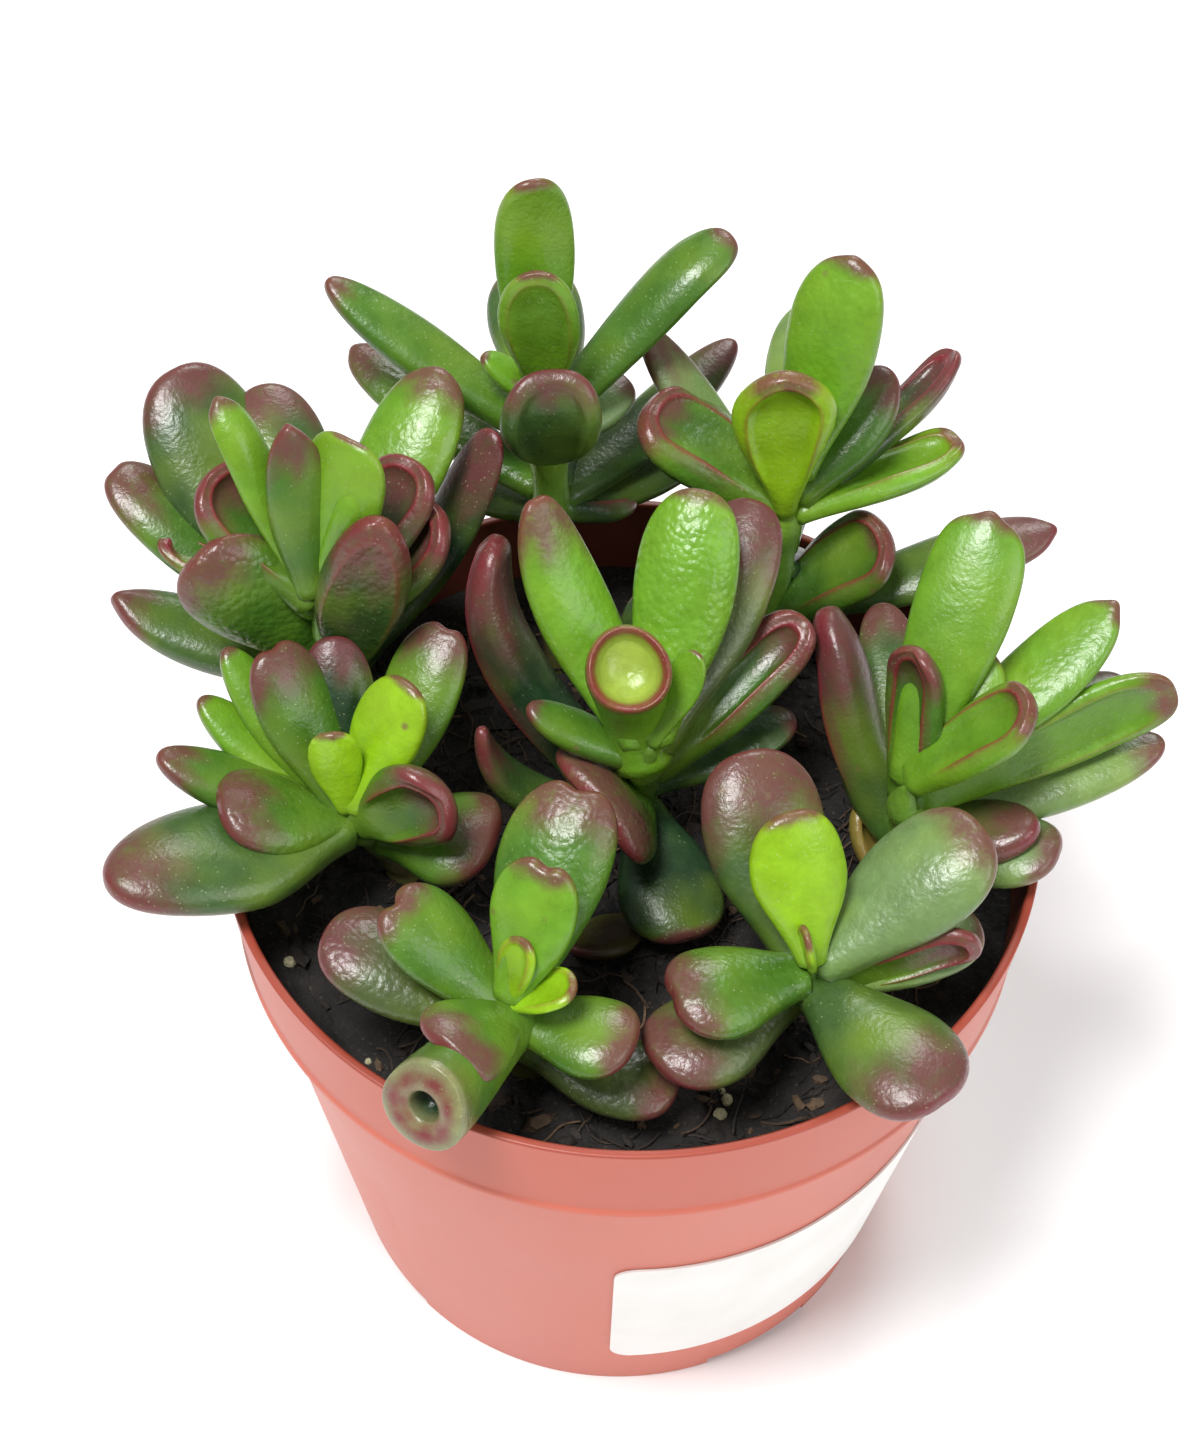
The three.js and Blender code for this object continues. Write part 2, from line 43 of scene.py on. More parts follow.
# Pot
POT_HEIGHT = 82.5
LIP_RADIUS = 51
FOOT_RADIUS = 37
WALL = 1.2
FLOOR = 1.6
COLLAR_BOTTOM = 66.5
COLLAR_RADIUS = 49.4
COLLAR_STEP = 1.4
BEAD = 0.35
BEAD_HEIGHT = 0.9
LIP_ROUND = 0.4
EDGE_ROUND = 0.35
FOLD_ROUND = 0.3
RECESS_ROUND = 0.2
FLOOR_ROUND = 1
RECESS_DEPTH = 2
RECESS_SLOPE = 1
RECESS_INNER = 12
RECESS_OUTER = 29
NOTCH_COUNT = 4
NOTCH_FIRST_ANGLE = -55
NOTCH_SPAN = 25
NOTCH_HEIGHT = 1.8
DRAIN_RADIUS = 4
DRAIN_RING = 20

# Soil
SOIL_LEVEL = 71
SOIL_RELIEF = 0.7
SOIL_GAP = 0.05

# Label
LABEL_LENGTH = 101.6
LABEL_HEIGHT = 33.9
LABEL_CORNER = 3
LABEL_THICKNESS = 0.35
LABEL_GAP = 0.04
LABEL_BOTTOM = 10.6
LABEL_START_ANGLE = -89

# Camera, set up to match the photograph's view
CAMERA_PLACE = (0, -0.2267, 0.3806)
CAMERA_YAW = -1.05
CAMERA_PITCH = 51.25
CAMERA_ROLL = 1.92
CAMERA_SENSOR = 36
CAMERA_LENS = 75.35

# How a leaf of each form is shaped. Angles are in degrees.
# fat: thickness to width, roll: how far the blade curls across, bend: how far it curves along,
# hook: an extra curve at the tip, neck: width at the stem to full width, blunt: squareness of the tip,
# belly: where along the leaf it is widest, rim: strength of the ridge round the outer face,
# deep: how far the outer face sinks inside that ridge, mouth: size of a cup's dish to its end.
FORMS = {
    "spoon": {"fat": 0.4, "roll": -50, "bend": 22, "hook": -15, "neck": 0.5, "blunt": 2.4, "belly": 0.66,
              "rim": 0.8, "deep": 0.25},
    "rolled": {"fat": 0.4, "roll": -110, "bend": 14, "hook": -30, "neck": 0.6, "blunt": 2.8, "belly": 0.7,
               "rim": 1, "deep": 0.35},
    "finger": {"fat": 0.56, "roll": -25, "bend": 14, "hook": 0, "neck": 0.62, "blunt": 2, "belly": 0.55,
               "rim": 0.3, "deep": 0.1},
    "blade": {"fat": 0.3, "roll": -20, "bend": 10, "hook": 0, "neck": 0.38, "blunt": 2.3, "belly": 0.64,
              "rim": 0.6, "deep": 0.2},
    "withered": {"fat": 0.3, "roll": 110, "bend": 40, "hook": 30, "neck": 0.4, "blunt": 1.8, "belly": 0.5,
                 "rim": 0, "deep": 0.5},
    "cup": {"neck": 0.7, "mouth": 0.78},
}


def leaf(kind, part, tip, width, hue, blush, **change):
    """A leaf of a cutting: its kind, its place along the stem (0 at the foot, 1 at the crown), its tip,
    its width, its colour, the part of its length that is flushed red, and what differs from its form:
    turn is how far it is turned about its own line, face is where a cup's dish looks, notch is a dent in
    the tip in millimetres, or a point if negative, and pebbly is how strong its pebbled relief is."""
    return kind, part, tip, width, hue, blush, {**FORMS[kind], **change}


# The cuttings: the points of the stem from the foot to the crown, its radius at the foot, and the leaves
STEM_FOOT = 57
CUTTINGS = {
    "shoot_back": ([(-10, 32, STEM_FOOT), (-10, 32, 73), (-12, 36, 95), (-13, 39, 113)], 3, [
        leaf("blade", 1, (-15, 45, 143), 10, "fresh", 0.03, fat=0.34, hook=20, neck=0.6),
        leaf("blade", 1, (-14, 38, 135), 10, "fresh", 0.03, turn=45, roll=-50),
        leaf("finger", 0.9, (-41, 50, 121), 8, "green", 0.1),
        leaf("rolled", 0.94, (9, 55, 127), 8.5, "green", 0.06, roll=-70),
        leaf("spoon", 0.94, (-16, 64, 112), 12.5, "moss", 0.2),
        leaf("spoon", 0.88, (-12, 33, 124), 12.5, "moss", 0.2, bend=80, hook=30, rim=0, deep=0.5),
        leaf("finger", 1, (-21, 41, 118), 4.5, "fresh", 0.08),
        leaf("spoon", 0.88, (-3, 47, 109), 8, "grey", 0.2),
        leaf("finger", 0.7, (11, 63, 101), 8, "moss", 0.25),
        leaf("rolled", 0.7, (-3, 45, 91), 10, "dark", 0.25, turn=180, roll=-80),
        leaf("spoon", 0.74, (-39, 56, 103), 9, "green", 0.2, notch=-0.5, pebbly=0.5),
        leaf("spoon", 0.68, (-25, 47, 90), 8, "dark", 0.4),
        leaf("spoon", 0.74, (-12, 64, 97), 11, "dark", 0.15),
        leaf("spoon", 0.68, (6, 54, 90), 9, "moss", 0.15),
    ]),
    "shoot_back_right": ([(16, 27, STEM_FOOT), (16, 27, 73), (17, 32, 90), (18, 34, 105)], 2.8, [
        leaf("spoon", 1, (24, 46, 132), 12, "fresh", 0.05, roll=-30, neck=0.72, notch=-0.4, pebbly=0.5),
        leaf("spoon", 0.94, (23, 60, 112), 13.5, "grey", 0.06),
        leaf("rolled", 0.9, (16, 34.5, 123), 13, "lime", 0.1,
             turn=125, roll=-60, neck=0.25, blunt=1.9, belly=0.72, rim=0.7),
        leaf("finger", 0.94, (30, 47, 113), 10, "green", 0.25, fat=0.5),
        leaf("rolled", 0.87, (39, 56, 108), 8, "moss", 0.3, turn=150),
        leaf("rolled", 0.9, (40, 45, 103), 9, "fresh", 0.06, turn=170),
        leaf("finger", 0.87, (-1.5, 50.5, 115), 7, "grey", 0.3),
        leaf("rolled", 0.9, (0, 41.1, 111), 13, "green", 0.22,
             turn=180, roll=-80, deep=0, fat=0.46, pebbly=0.5),
        leaf("rolled", 0.55, (30.7, 32.6, 98), 12.5, "green", 0.14, turn=190, roll=-80, belly=0.75),
        leaf("spoon", 0.72, (22, 40, 84), 9, "dark", 0.2),
        leaf("spoon", 0.58, (52.5, 38, 94), 9.5, "moss", 0.35, notch=-0.8),
        leaf("spoon", 0.76, (20, 60, 96), 10, "moss", 0.2),
    ]),
    "shoot_right": ([(34, -2, STEM_FOOT), (34, -2, 73), (34, -3, 83), (33, -4, 94)], 2.8, [
        leaf("finger", 0.94, (41, 18.5, 117), 12, "fresh", 0.04,
             fat=0.4, bend=-15, blunt=3, belly=0.7, notch=-0.9),
        leaf("blade", 0.97, (57, 14, 107), 10, "fresh", 0.04, notch=-0.9, pebbly=0.4),
        leaf("blade", 1, (41.5, 8.5, 105), 10.5, "fresh", 0.05, notch=-0.4),
        leaf("rolled", 1, (46, -3, 109), 10.5, "fresh", 0.14, turn=180, roll=-80),
        leaf("rolled", 0.88, (65, 6.5, 101), 9.5, "fresh", 0.1, turn=-112, roll=-50, rim=0.4),
        leaf("spoon", 0.85, (60, 12, 96), 9, "grey", 0.1),
        leaf("finger", 0.78, (65, 6, 92), 10, "grey", 0.14, fat=0.4),
        leaf("rolled", 0.85, (32.5, 4, 109), 9, "green", 0.25, turn=128, roll=-130, hook=-40),
        leaf("rolled", 0.66, (22.7, 18.5, 99.5), 9, "dark", 0.5, turn=60, roll=-60, bend=50, fat=0.8),
        leaf("finger", 0.72, (49, -8, 91), 9.5, "olive", 0.45),
        leaf("spoon", 0.66, (52, -9, 88), 11, "grey", 0.15),
        leaf("spoon", 0.72, (31, 27, 91), 8, "moss", 0.2),
        leaf("withered", 0.5, (28.5, 0, 83), 9, "straw", 0),
    ]),
    "shoot_centre": ([(1, 4, STEM_FOOT), (1, 4, 73), (1, 1, 85), (2, -3, 97)], 2.8, [
        leaf("finger", 0.97, (-13, 17, 119), 10, "fresh", 0.25, fat=0.45, bend=45, notch=0.5, pebbly=0.4),
        leaf("spoon", 0.97, (7, 20, 118), 12.5, "fresh", 0.05, pebbly=1),
        leaf("spoon", 0.92, (14, 25, 111), 12, "olive", 0.35),
        leaf("cup", 0.85, (-1, -1, 109), 10.5, "fresh", 0.35, face=(0.05, -0.6, 0.8)),
        leaf("blade", 1, (7, 4, 107), 5, "fresh", 0.02),
        leaf("rolled", 0.76, (20.5, 14, 102), 9, "green", 0.3, turn=200, roll=-130, fat=0.5),
        leaf("rolled", 0.62, (-17.5, 18, 110), 9.5, "dark", 0.4,
             turn=45, roll=-60, bend=60, hook=20, fat=0.8),
        leaf("finger", 0.88, (-13, 1, 99), 6, "green", 0.1),
        leaf("finger", 0.5, (-18.5, 1, 94), 6.5, "moss", 0.28, bend=100),
        leaf("spoon", 0.55, (8, -16, 76), 13, "dark", 0.05),
        leaf("spoon", 0.66, (20, 11, 87), 7.5, "dark", 0.1),
        leaf("spoon", 0.6, (-4, -8, 92), 18, "green", 0.42,
             turn=-28, fat=0.28, roll=-40, blunt=3, pebbly=0.6),
        leaf("spoon", 0.72, (3, 31, 88), 11, "dark", 0.1),
    ]),
    "shoot_back_left": ([(-32, 13, STEM_FOOT), (-32, 13, 73), (-36, 13, 90), (-39, 11, 105)], 2.8, [
        leaf("spoon", 0.88, (-59, 37, 117), 16, "moss", 0.14, bend=50, pebbly=0.2),
        leaf("spoon", 0.94, (-48, 39, 113), 12, "moss", 0.22),
        leaf("rolled", 1, (-51, 23, 126), 6, "fresh", 0.07, notch=-0.5),
        leaf("finger", 1, (-42, 18, 127), 8, "green", 0.24, notch=-0.6),
        leaf("blade", 1, (-35, 18, 126), 11.5, "fresh", 0, blunt=3),
        leaf("spoon", 0.9, (-26, 38, 118), 12, "fresh", 0.14, notch=-0.3, pebbly=0.4),
        leaf("rolled", 0.94, (-27.7, 23.2, 117), 11, "moss", 0.4, turn=180, roll=-80),
        leaf("rolled", 1, (-33, 15, 121), 5, "fresh", 0.03, turn=60),
        leaf("spoon", 0.7, (-19, 33, 113), 7.5, "dark", 0.35, bend=65),
        leaf("finger", 0.72, (-31, 11, 120), 11, "moss", 0.35, turn=-75, bend=24, rim=0.5, pebbly=0.6),
        leaf("rolled", 0.82, (-25, 19.5, 113), 11.5, "moss", 0.35, turn=180, roll=-80),
        leaf("rolled", 0.97, (-52, 20, 117), 12, "green", 0.3, turn=180, roll=-80),
        leaf("spoon", 0.82, (-66, 27, 109), 10.5, "green", 0.25, notch=0.3),
        leaf("rolled", 0.94, (-59, 19, 106), 5.5, "fresh", 0.2, turn=180, roll=-60),
        leaf("spoon", 0.72, (-53, 10.5, 112.5), 14, "green", 0.2, turn=-70, rim=0, pebbly=1),
        leaf("finger", 0.7, (-65, 17.5, 96), 10, "moss", 0.15, bend=40, notch=-0.8),
        leaf("spoon", 0.74, (-42, 44, 94), 11, "dark", 0.2),
        leaf("spoon", 0.68, (-30, 38, 86), 9, "dark", 0.2),
    ]),
    "shoot_left": ([(-28, -4, STEM_FOOT), (-28, -4, 73), (-31, -6, 81), (-34, -9, 89)], 2.8, [
        leaf("blade", 1, (-27, -1, 105), 10, "lime", 0.04, fat=0.34),
        leaf("blade", 1, (-36, -7, 102), 6.5, "lime", 0.05, turn=-40, roll=-50),
        leaf("spoon", 0.95, (-44, 3.5, 105), 10, "green", 0.28, notch=0.6),
        leaf("spoon", 0.95, (-37, 7.5, 102.5), 8.5, "dark", 0.25),
        leaf("finger", 0.9, (-50, 6, 101), 7, "fresh", 0.04),
        leaf("finger", 0.86, (-53, 2, 96), 7, "fresh", 0.04),
        leaf("spoon", 0.9, (-23, 11.5, 101), 10, "green", 0.22, notch=0.6),
        leaf("finger", 0.9, (-57, -6, 95), 8, "green", 0.2),
        leaf("spoon", 0.9, (-49, -12, 93.5), 12.5, "green", 0.35, pebbly=0.5),
        leaf("spoon", 0.9, (-61.2, -22.8, 91.5), 16, "moss", 0.28, belly=0.5, blunt=2.1),
        leaf("rolled", 0.92, (-22, -13, 98), 12, "green", 0.34, turn=-100),
        leaf("spoon", 0.76, (-16, -9, 86), 14, "green", 0.3),
    ]),
    "shoot_front_left": ([(-11, -31, STEM_FOOT), (-11, -31, 73), (-12, -34, 81), (-13, -36, 90)], 2.8, [
        leaf("spoon", 0.95, (-6, -14, 104), 13.5, "green", 0.24, notch=1, pebbly=0.6),
        leaf("blade", 1, (-9, -27, 106), 10.5, "fresh", 0.12, fat=0.36, notch=0.8),
        leaf("spoon", 0.95, (-27, -28, 99), 11, "green", 0.16, notch=1, pebbly=0.4),
        leaf("blade", 1, (-11.3, -32.8, 99), 5.5, "lime", 0.1, turn=165, roll=-50),
        leaf("blade", 1, (-5.1, -36.2, 95), 6, "lime", 0.1, turn=180, roll=-50),
        leaf("spoon", 0.88, (2, -39, 88), 11, "green", 0.24),
        leaf("spoon", 0.95, (-19, -45.9, 95), 11.5, "green", 0.36, turn=-15, fat=0.34, roll=-60, blunt=3),
        leaf("cup", 0.9, (-21.3, -50.9, 91.5), 11, "green", 0.34, face=(-0.45, -0.8, 0.3), mouth=0.38),
        leaf("spoon", 0.84, (-35, -27, 90), 13, "olive", 0.26, pebbly=0.6),
        leaf("spoon", 0.66, (7, -39, 77), 11, "olive", 0.22, pebbly=0.6),
    ]),
    "shoot_front_right": ([(19, -22, STEM_FOOT), (19, -22, 73), (21, -26, 81), (22, -29, 90)], 2.8, [
        leaf("blade", 1, (18.5, -19, 107), 11.5, "lime", 0.06, fat=0.36, neck=0.3, belly=0.6),
        leaf("spoon", 0.88, (13, -6, 101), 15, "moss", 0.42, pebbly=0.25),
        leaf("spoon", 0.95, (40.6, -15.8, 102), 14.5, "grey", 0.16, pebbly=0.35),
        leaf("spoon", 0.84, (42, -21, 89), 10, "grey", 0.06),
        leaf("spoon", 0.95, (5.5, -34.5, 91), 12.5, "green", 0.28, notch=0.4, pebbly=0.5),
        leaf("spoon", 0.8, (4, -39, 84), 13, "olive", 0.3, pebbly=0.5),
        leaf("spoon", 0.88, (37, -46, 90), 15, "moss", 0.34, pebbly=0.3),
        leaf("rolled", 0.85, (41.2, -26.6, 93), 6.5, "green", 0.45, turn=-95, roll=-60, fat=0.55),
        leaf("blade", 1, (20.7, -29.4, 98), 4.5, "lime", 0.15),
    ]),
}

# Colours from the photograph, in sRGB from 0 to 255
HUES = {
    "lime": (142, 188, 24),
    "fresh": (100, 148, 32),
    "green": (68, 109, 30),
    "moss": (60, 88, 40),
    "dark": (35, 62, 35),
    "olive": (72, 86, 44),
    "grey": (104, 130, 78),
    "straw": (128, 104, 52),
    "dried": (70, 52, 42),
}
CROWN_HUE = (100, 142, 48)
BARK_HUE = (96, 86, 58)
DISH_HUE = (150, 172, 66)
FACE_HUE = (150, 158, 112)
WARM_HUE = (140, 168, 40)
BLUSH_HUE = (104, 54, 58)
RIM_HUE = (124, 28, 42)
SPECK_HUE = (176, 184, 140)
SCAB_HUE = (116, 92, 62)
POT_HUES = [(202, 98, 76), (210, 110, 88)]
DUST_HUE = (214, 150, 132)
COLLAR_HUE = (176, 80, 62)
# Painted shade for the inner wall of the pot above the soil
INNER_SHADE_HUE = (64, 30, 24)
# Painted shade for the top of the pot's lip
LIP_SHADE_HUE = (146, 58, 42)
SOIL_HUES = [(24, 22, 22), (47, 42, 39)]
FLECK_HUE = (92, 80, 66)
CHIP_HUES = [(34, 27, 23), (52, 40, 31), (26, 22, 20), (84, 66, 48), (44, 38, 34)]
PERLITE_HUE = (196, 188, 150)
LABEL_HUES = [(240, 239, 235), (248, 247, 244)]
FLOOR_HUES = [(244, 244, 244), (250, 250, 250)]


def linear(rgb):
    """An sRGB colour of 0 to 255 as the linear colour the shaders take."""
    value = np.asarray(rgb, float) / 255
    return np.where(value <= 0.04045, value / 12.92, ((value + 0.055) / 1.055) ** 2.4)


def colour(rgb):
    return (*linear(rgb), 1.0)


def unit(vector):
    vector = np.asarray(vector, float)
    return vector / np.linalg.norm(vector)


def lerp(first, second, share):
    return first * (1 - share) + second * share


def smooth(start, end, value):
    """0 before start, 1 after end, with a soft step between. Start may be the larger one."""
    part = np.clip((value - start) / (end - start), 0, 1)
    return part * part * (3 - 2 * part)


def bump_at(value, middle, spread):
    return np.exp(-((value - middle) / spread) ** 2)


def polar(radius, angle):
    return radius * math.cos(angle), radius * math.sin(angle)


def angles(sides):
    return 2 * np.pi * np.arange(sides) / sides


def ring_around(centre, across, along, size, sides):
    """Points round a centre, square to along, from the direction across."""
    around = angles(sides)[:, None]
    return centre + size * (np.cos(around) * across + np.sin(around) * np.cross(along, across))


# Meshes

def bare_object(name, points, faces):
    """An object of the scene, from points in millimetres."""
    mesh = bpy.data.meshes.new(name)
    mesh.from_pydata((np.asarray(points) * MM).tolist(), [], faces)
    piece = bpy.data.objects.new(name, mesh)
    bpy.context.scene.collection.objects.link(piece)
    return piece


def mesh_object(name, points, faces, material, **attributes):
    """A smooth-shaded piece of the part, with one value or colour at each point."""
    piece = bare_object(name, points, faces)
    mesh = piece.data
    for key, values in attributes.items():
        values = np.asarray(values, np.float32)
        if values.ndim == 1:
            mesh.attributes.new(key, "FLOAT", "POINT").data.foreach_set("value", values)
        else:
            alpha = np.ones((len(values), 1), np.float32)
            layer = mesh.attributes.new(key, "FLOAT_COLOR", "POINT")
            layer.data.foreach_set("color", np.hstack([values, alpha]).ravel())
    mesh.shade_smooth()
    mesh.update()
    mesh.materials.append(material)
    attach(piece, "root")
    return piece


def ring_faces(rings, sides, first=0):
    """Faces of a closed skin: an end point, rings of points, and another end point."""
    start = first + 1
    last = start + rings * sides
    ahead = [(k + 1) % sides for k in range(sides)]
    faces = [(first, start + ahead[k], start + k) for k in range(sides)]
    for ring in range(rings - 1):
        low = start + ring * sides
        high = low + sides
        faces += [(low + k, low + ahead[k], high + ahead[k], high + k) for k in range(sides)]
    top = last - sides
    return faces + [(top + k, top + ahead[k], last) for k in range(sides)]


class Skins:
    """Gathers closed skins, with the values at their points, into one piece."""

    def __init__(self):
        self.points = []
        self.faces = []
        self.values = {}
        self.count = 0

    def add(self, first_end, rings, last_end, **values):
        """rings is rings by sides by 3, and each value is one number, or rings by sides, or that by 3."""
        count, sides = rings.shape[:2]
        self.faces += ring_faces(count, sides, self.count)
        self.points += [np.reshape(first_end, (1, 3)), rings.reshape(-1, 3), np.reshape(last_end, (1, 3))]
        for key, value in values.items():
            full = np.broadcast_to(value, (count, sides) + np.shape(value)[2:])
            flat = full.reshape((count * sides,) + full.shape[2:])
            ends = [full[0].mean(0, keepdims=True), flat, full[-1].mean(0, keepdims=True)]
            self.values.setdefault(key, []).append(np.concatenate(ends))
        self.count += count * sides + 2

    def piece(self, name, material):
        values = {key: np.concatenate(parts) for key, parts in self.values.items()}
        return mesh_object(name, np.concatenate(self.points), self.faces, material, **values)


# Leaves

LEAF_RINGS = 44
LEAF_SIDES = 64
TIP_CROWDING = 2.2
SIDE_CROWDING = 0.12
SPINE_STEPS = 201
HOOK_START = 0.62
WIDEST_NECK = 5.4
BASE_ROUND = 0.05
BASE_CLOSED = 0.98
TIP_START = 0.72
THICK_AT_BASE = 0.85
THICK_AT_TIP = 0.65
CURL_AT_BASE = 0.15
CURL_ROOM = 0.75
CURL_SINK = 0.25
SECTION_POWER = 0.8
RIDGE_AT = 0.84
RIDGE_SPREAD = 0.3
RIDGE_HEIGHT = 0.3
DISH_SLOPE = 0.28
LIP_AT = 0.93
LIP_SPREAD = 0.07
LIP_HEIGHT = 0.14
DENT_SPREAD = 0.24
UNEVEN = 0.05
SWAY = 0.02
PEBBLY = 0.15
CROWN_SHARE = 0.5
# Painted shade on the middle of the outer face, inside the ridge where it sinks
OUTER_PAINTED_SHADE = 0.22


def squared(value):
    """Signed power, which squares off a round section a little."""
    return np.sign(value) * np.abs(value) ** SECTION_POWER


def spine(t, bend, hook):
    """The leaf's middle line in its own plane, one unit from end to end, and its heading."""
    steps = np.linspace(0, 1, SPINE_STEPS)
    heading = np.radians(bend) * (steps - 0.5) + np.radians(hook) * smooth(HOOK_START, 1, steps)
    across = np.concatenate([[0], np.cumsum(np.cos(heading)[1:])])
    rise = np.concatenate([[0], np.cumsum(np.sin(heading)[1:])])
    size = math.hypot(across[-1], rise[-1])
    lean = math.atan2(rise[-1], across[-1])
    along = (across * math.cos(lean) + rise * math.sin(lean)) / size
    lift = (rise * math.cos(lean) - across * math.sin(lean)) / size
    return np.interp(t, steps, along), np.interp(t, steps, lift), np.interp(t, steps, heading) - lean


def plan_width(t, neck, belly, blunt):
    rise = lerp(neck, 1, smooth(0, belly, t))
    fall = (1 - np.clip((t - belly) / (1 - belly), 0, 1) ** blunt) ** (1 / blunt)
    return np.where(t < belly, rise, fall)


def plan_thickness(t):
    swell = lerp(THICK_AT_BASE, 1, smooth(0, 0.35, t))
    thinning = lerp(1, THICK_AT_TIP, smooth(0.55, 1, t))
    rounded_tip = (1 - np.clip((t - TIP_START) / (1 - TIP_START), 0, 1) ** 3) ** (1 / 3)
    return swell * thinning * rounded_tip


def outness_at(t, a, plan, belly, blunt):
    """How far a point is from the middle of the blade towards its margin, 1 at the margin."""
    late = np.clip((t - belly) / (1 - belly), 0, 1)
    near_tip = ((np.abs(a) * plan) ** blunt + late ** blunt) ** (1 / blunt)
    return np.where(t < belly, np.abs(a), near_tip)


def add_leaf(skins, base, tip, width, hue, blush, form):
    base, tip = np.array(base, float), np.array(tip, float)
    reach = np.linalg.norm(tip - base)
    along = (tip - base) / reach
    inner = unit(np.array([0, 0, 1.0]) - along * along[2])
    turn = math.radians(form.get("turn", 0))
    inner = inner * math.cos(turn) + np.cross(along, inner) * math.sin(turn)
    side = np.cross(inner, along)

    # t runs from the stem to the tip, a from margin to margin, and v from the outer face to the inner one
    t = (1 - (1 - np.linspace(0, 1, LEAF_RINGS + 1)[:-1]) ** TIP_CROWDING)[:, None]
    around = angles(LEAF_SIDES)[None, :]
    theta = around + SIDE_CROWDING * np.sin(4 * around)
    a = squared(np.cos(theta))
    v = squared(np.sin(theta))

    spot_along, spot_lift, heading = spine(t, form["bend"], form["hook"])
    plan = plan_width(t, min(form["neck"], WIDEST_NECK / width), form["belly"], form["blunt"])
    closing = np.sqrt(1 - BASE_CLOSED * (1 - np.clip(t / BASE_ROUND, 0, 1)) ** 2)
    curl = math.radians(form["roll"] / 2) * lerp(CURL_AT_BASE, 1, smooth(0.05, 0.8, t))
    radius = width / 2 * plan * closing / curl
    thick = np.minimum(form["fat"] * width / 2 * plan_thickness(t) * closing, CURL_ROOM * np.abs(radius))

    # The ridge round the outer face, the dish inside it, and the lip of the inner face
    outness = outness_at(t, a, plan, form["belly"], form["blunt"])
    fade = smooth(0.2, 0.5, t)
    ridge = bump_at(outness, RIDGE_AT, 2 * RIDGE_SPREAD / width) * fade * form["rim"] * (v < 0)
    sunk = form["deep"] * smooth(RIDGE_AT, RIDGE_AT - DISH_SLOPE, outness) * fade
    lip = LIP_HEIGHT * bump_at(outness, LIP_AT, LIP_SPREAD) * smooth(0.6, 0.85, t) * form["rim"] * (v > 0)

    # Slow unevenness that makes each leaf its own
    phase = rng.uniform(0, 2 * np.pi, 4)
    uneven = 1 + UNEVEN * np.sin(5 * t + phase[0]) * np.cos(2.4 * a + phase[1])
    sway = SWAY * width * np.sin(6 * t + phase[2]) * smooth(0.1, 0.5, t)

    outer = v * thick * (1 - sunk) * uneven - RIDGE_HEIGHT * ridge * np.sqrt(np.abs(v))
    off = np.where(v >= 0, v * thick * uneven + lip, outer)
    lateral = (radius - off) * np.sin(a * curl) + sway
    rise = off * np.cos(a * curl) + radius * (1 - np.cos(a * curl) - CURL_SINK * (1 - np.cos(curl)))
    dent = form.get("notch", 0) * bump_at(a * plan, 0, DENT_SPREAD) * smooth(0.72, 1, t)
    x = spot_along * reach - rise * np.sin(heading) - dent * np.cos(heading)
    y = spot_lift * reach + rise * np.cos(heading) - dent * np.sin(heading)
    rings = base + x[..., None] * along + y[..., None] * inner + lateral[..., None] * side

    # Colours: paler at the stem, flushed at the tip, red along the ridge and the margin, with painted shade
    # on the middle of the outer face
    patchy = 0.08 * np.sin(7 * a * plan + phase[3]) + 0.05 * np.sin(23 * t + 9 * a + phase[0])
    tipness = np.maximum(t, 0.86 * outness * smooth(0.45, 0.9, t))
    flush = smooth(1 - 1.25 * blush - 0.02, 1 - 0.25 * blush, tipness + patchy * blush * 1.5)
    edge = bump_at(outness, 1.0, 0.04) * smooth(0.7, 0.97, t) * (0.15 + 0.5 * min(1, 3 * blush))
    band = (v < 0) * smooth(RIDGE_AT - 0.06, RIDGE_AT + 0.05, outness) * fade * form["rim"]
    base_hue = linear(HUES[hue]) * rng.uniform(0.9, 1.1)
    pale = base_hue if hue in ("straw", "dried") else linear(CROWN_HUE)
    share = (CROWN_SHARE * smooth(0.2, 0, t) * np.ones_like(a))[..., None]
    # Painted shade: the middle of the outer face is darkened
    shade = (1 - OUTER_PAINTED_SHADE * (v < 0) * smooth(0.1, 0.5, t) * smooth(0.9, 0.5, outness))[..., None]
    skins.add(base, rings, rings[-1].mean(0), base=lerp(base_hue, pale, share) * shade,
              blush=np.clip(np.maximum(flush, 0.6 * band * min(1, 2.2 * blush)), 0, 1),
              rim=np.clip(np.maximum(ridge * min(1, 4 * blush + 0.4), edge), 0, 1),
              pebbly=form.get("pebbly", PEBBLY))


def through(points, steps):
    """A smooth line through points, with steps to each stretch."""
    points = np.asarray(points, float)
    line = []
    for k in range(len(points) - 1):
        before, after = points[max(k - 1, 0)], points[min(k + 2, len(points) - 1)]
        for part in np.arange(steps) / steps:
            pull_in, pull_out = (points[k + 1] - before) / 2, (after - points[k]) / 2
            square, cube = part * part, part ** 3
            line.append((2 * cube - 3 * square + 1) * points[k] + (cube - 2 * square + part) * pull_in
                        + (3 * square - 2 * cube) * points[k + 1] + (cube - square) * pull_out)
    return np.array(line + [points[-1]])


CUP_PEBBLY = 0.2
CUP_BACK = 0.5
CUP_DIP = 0.09


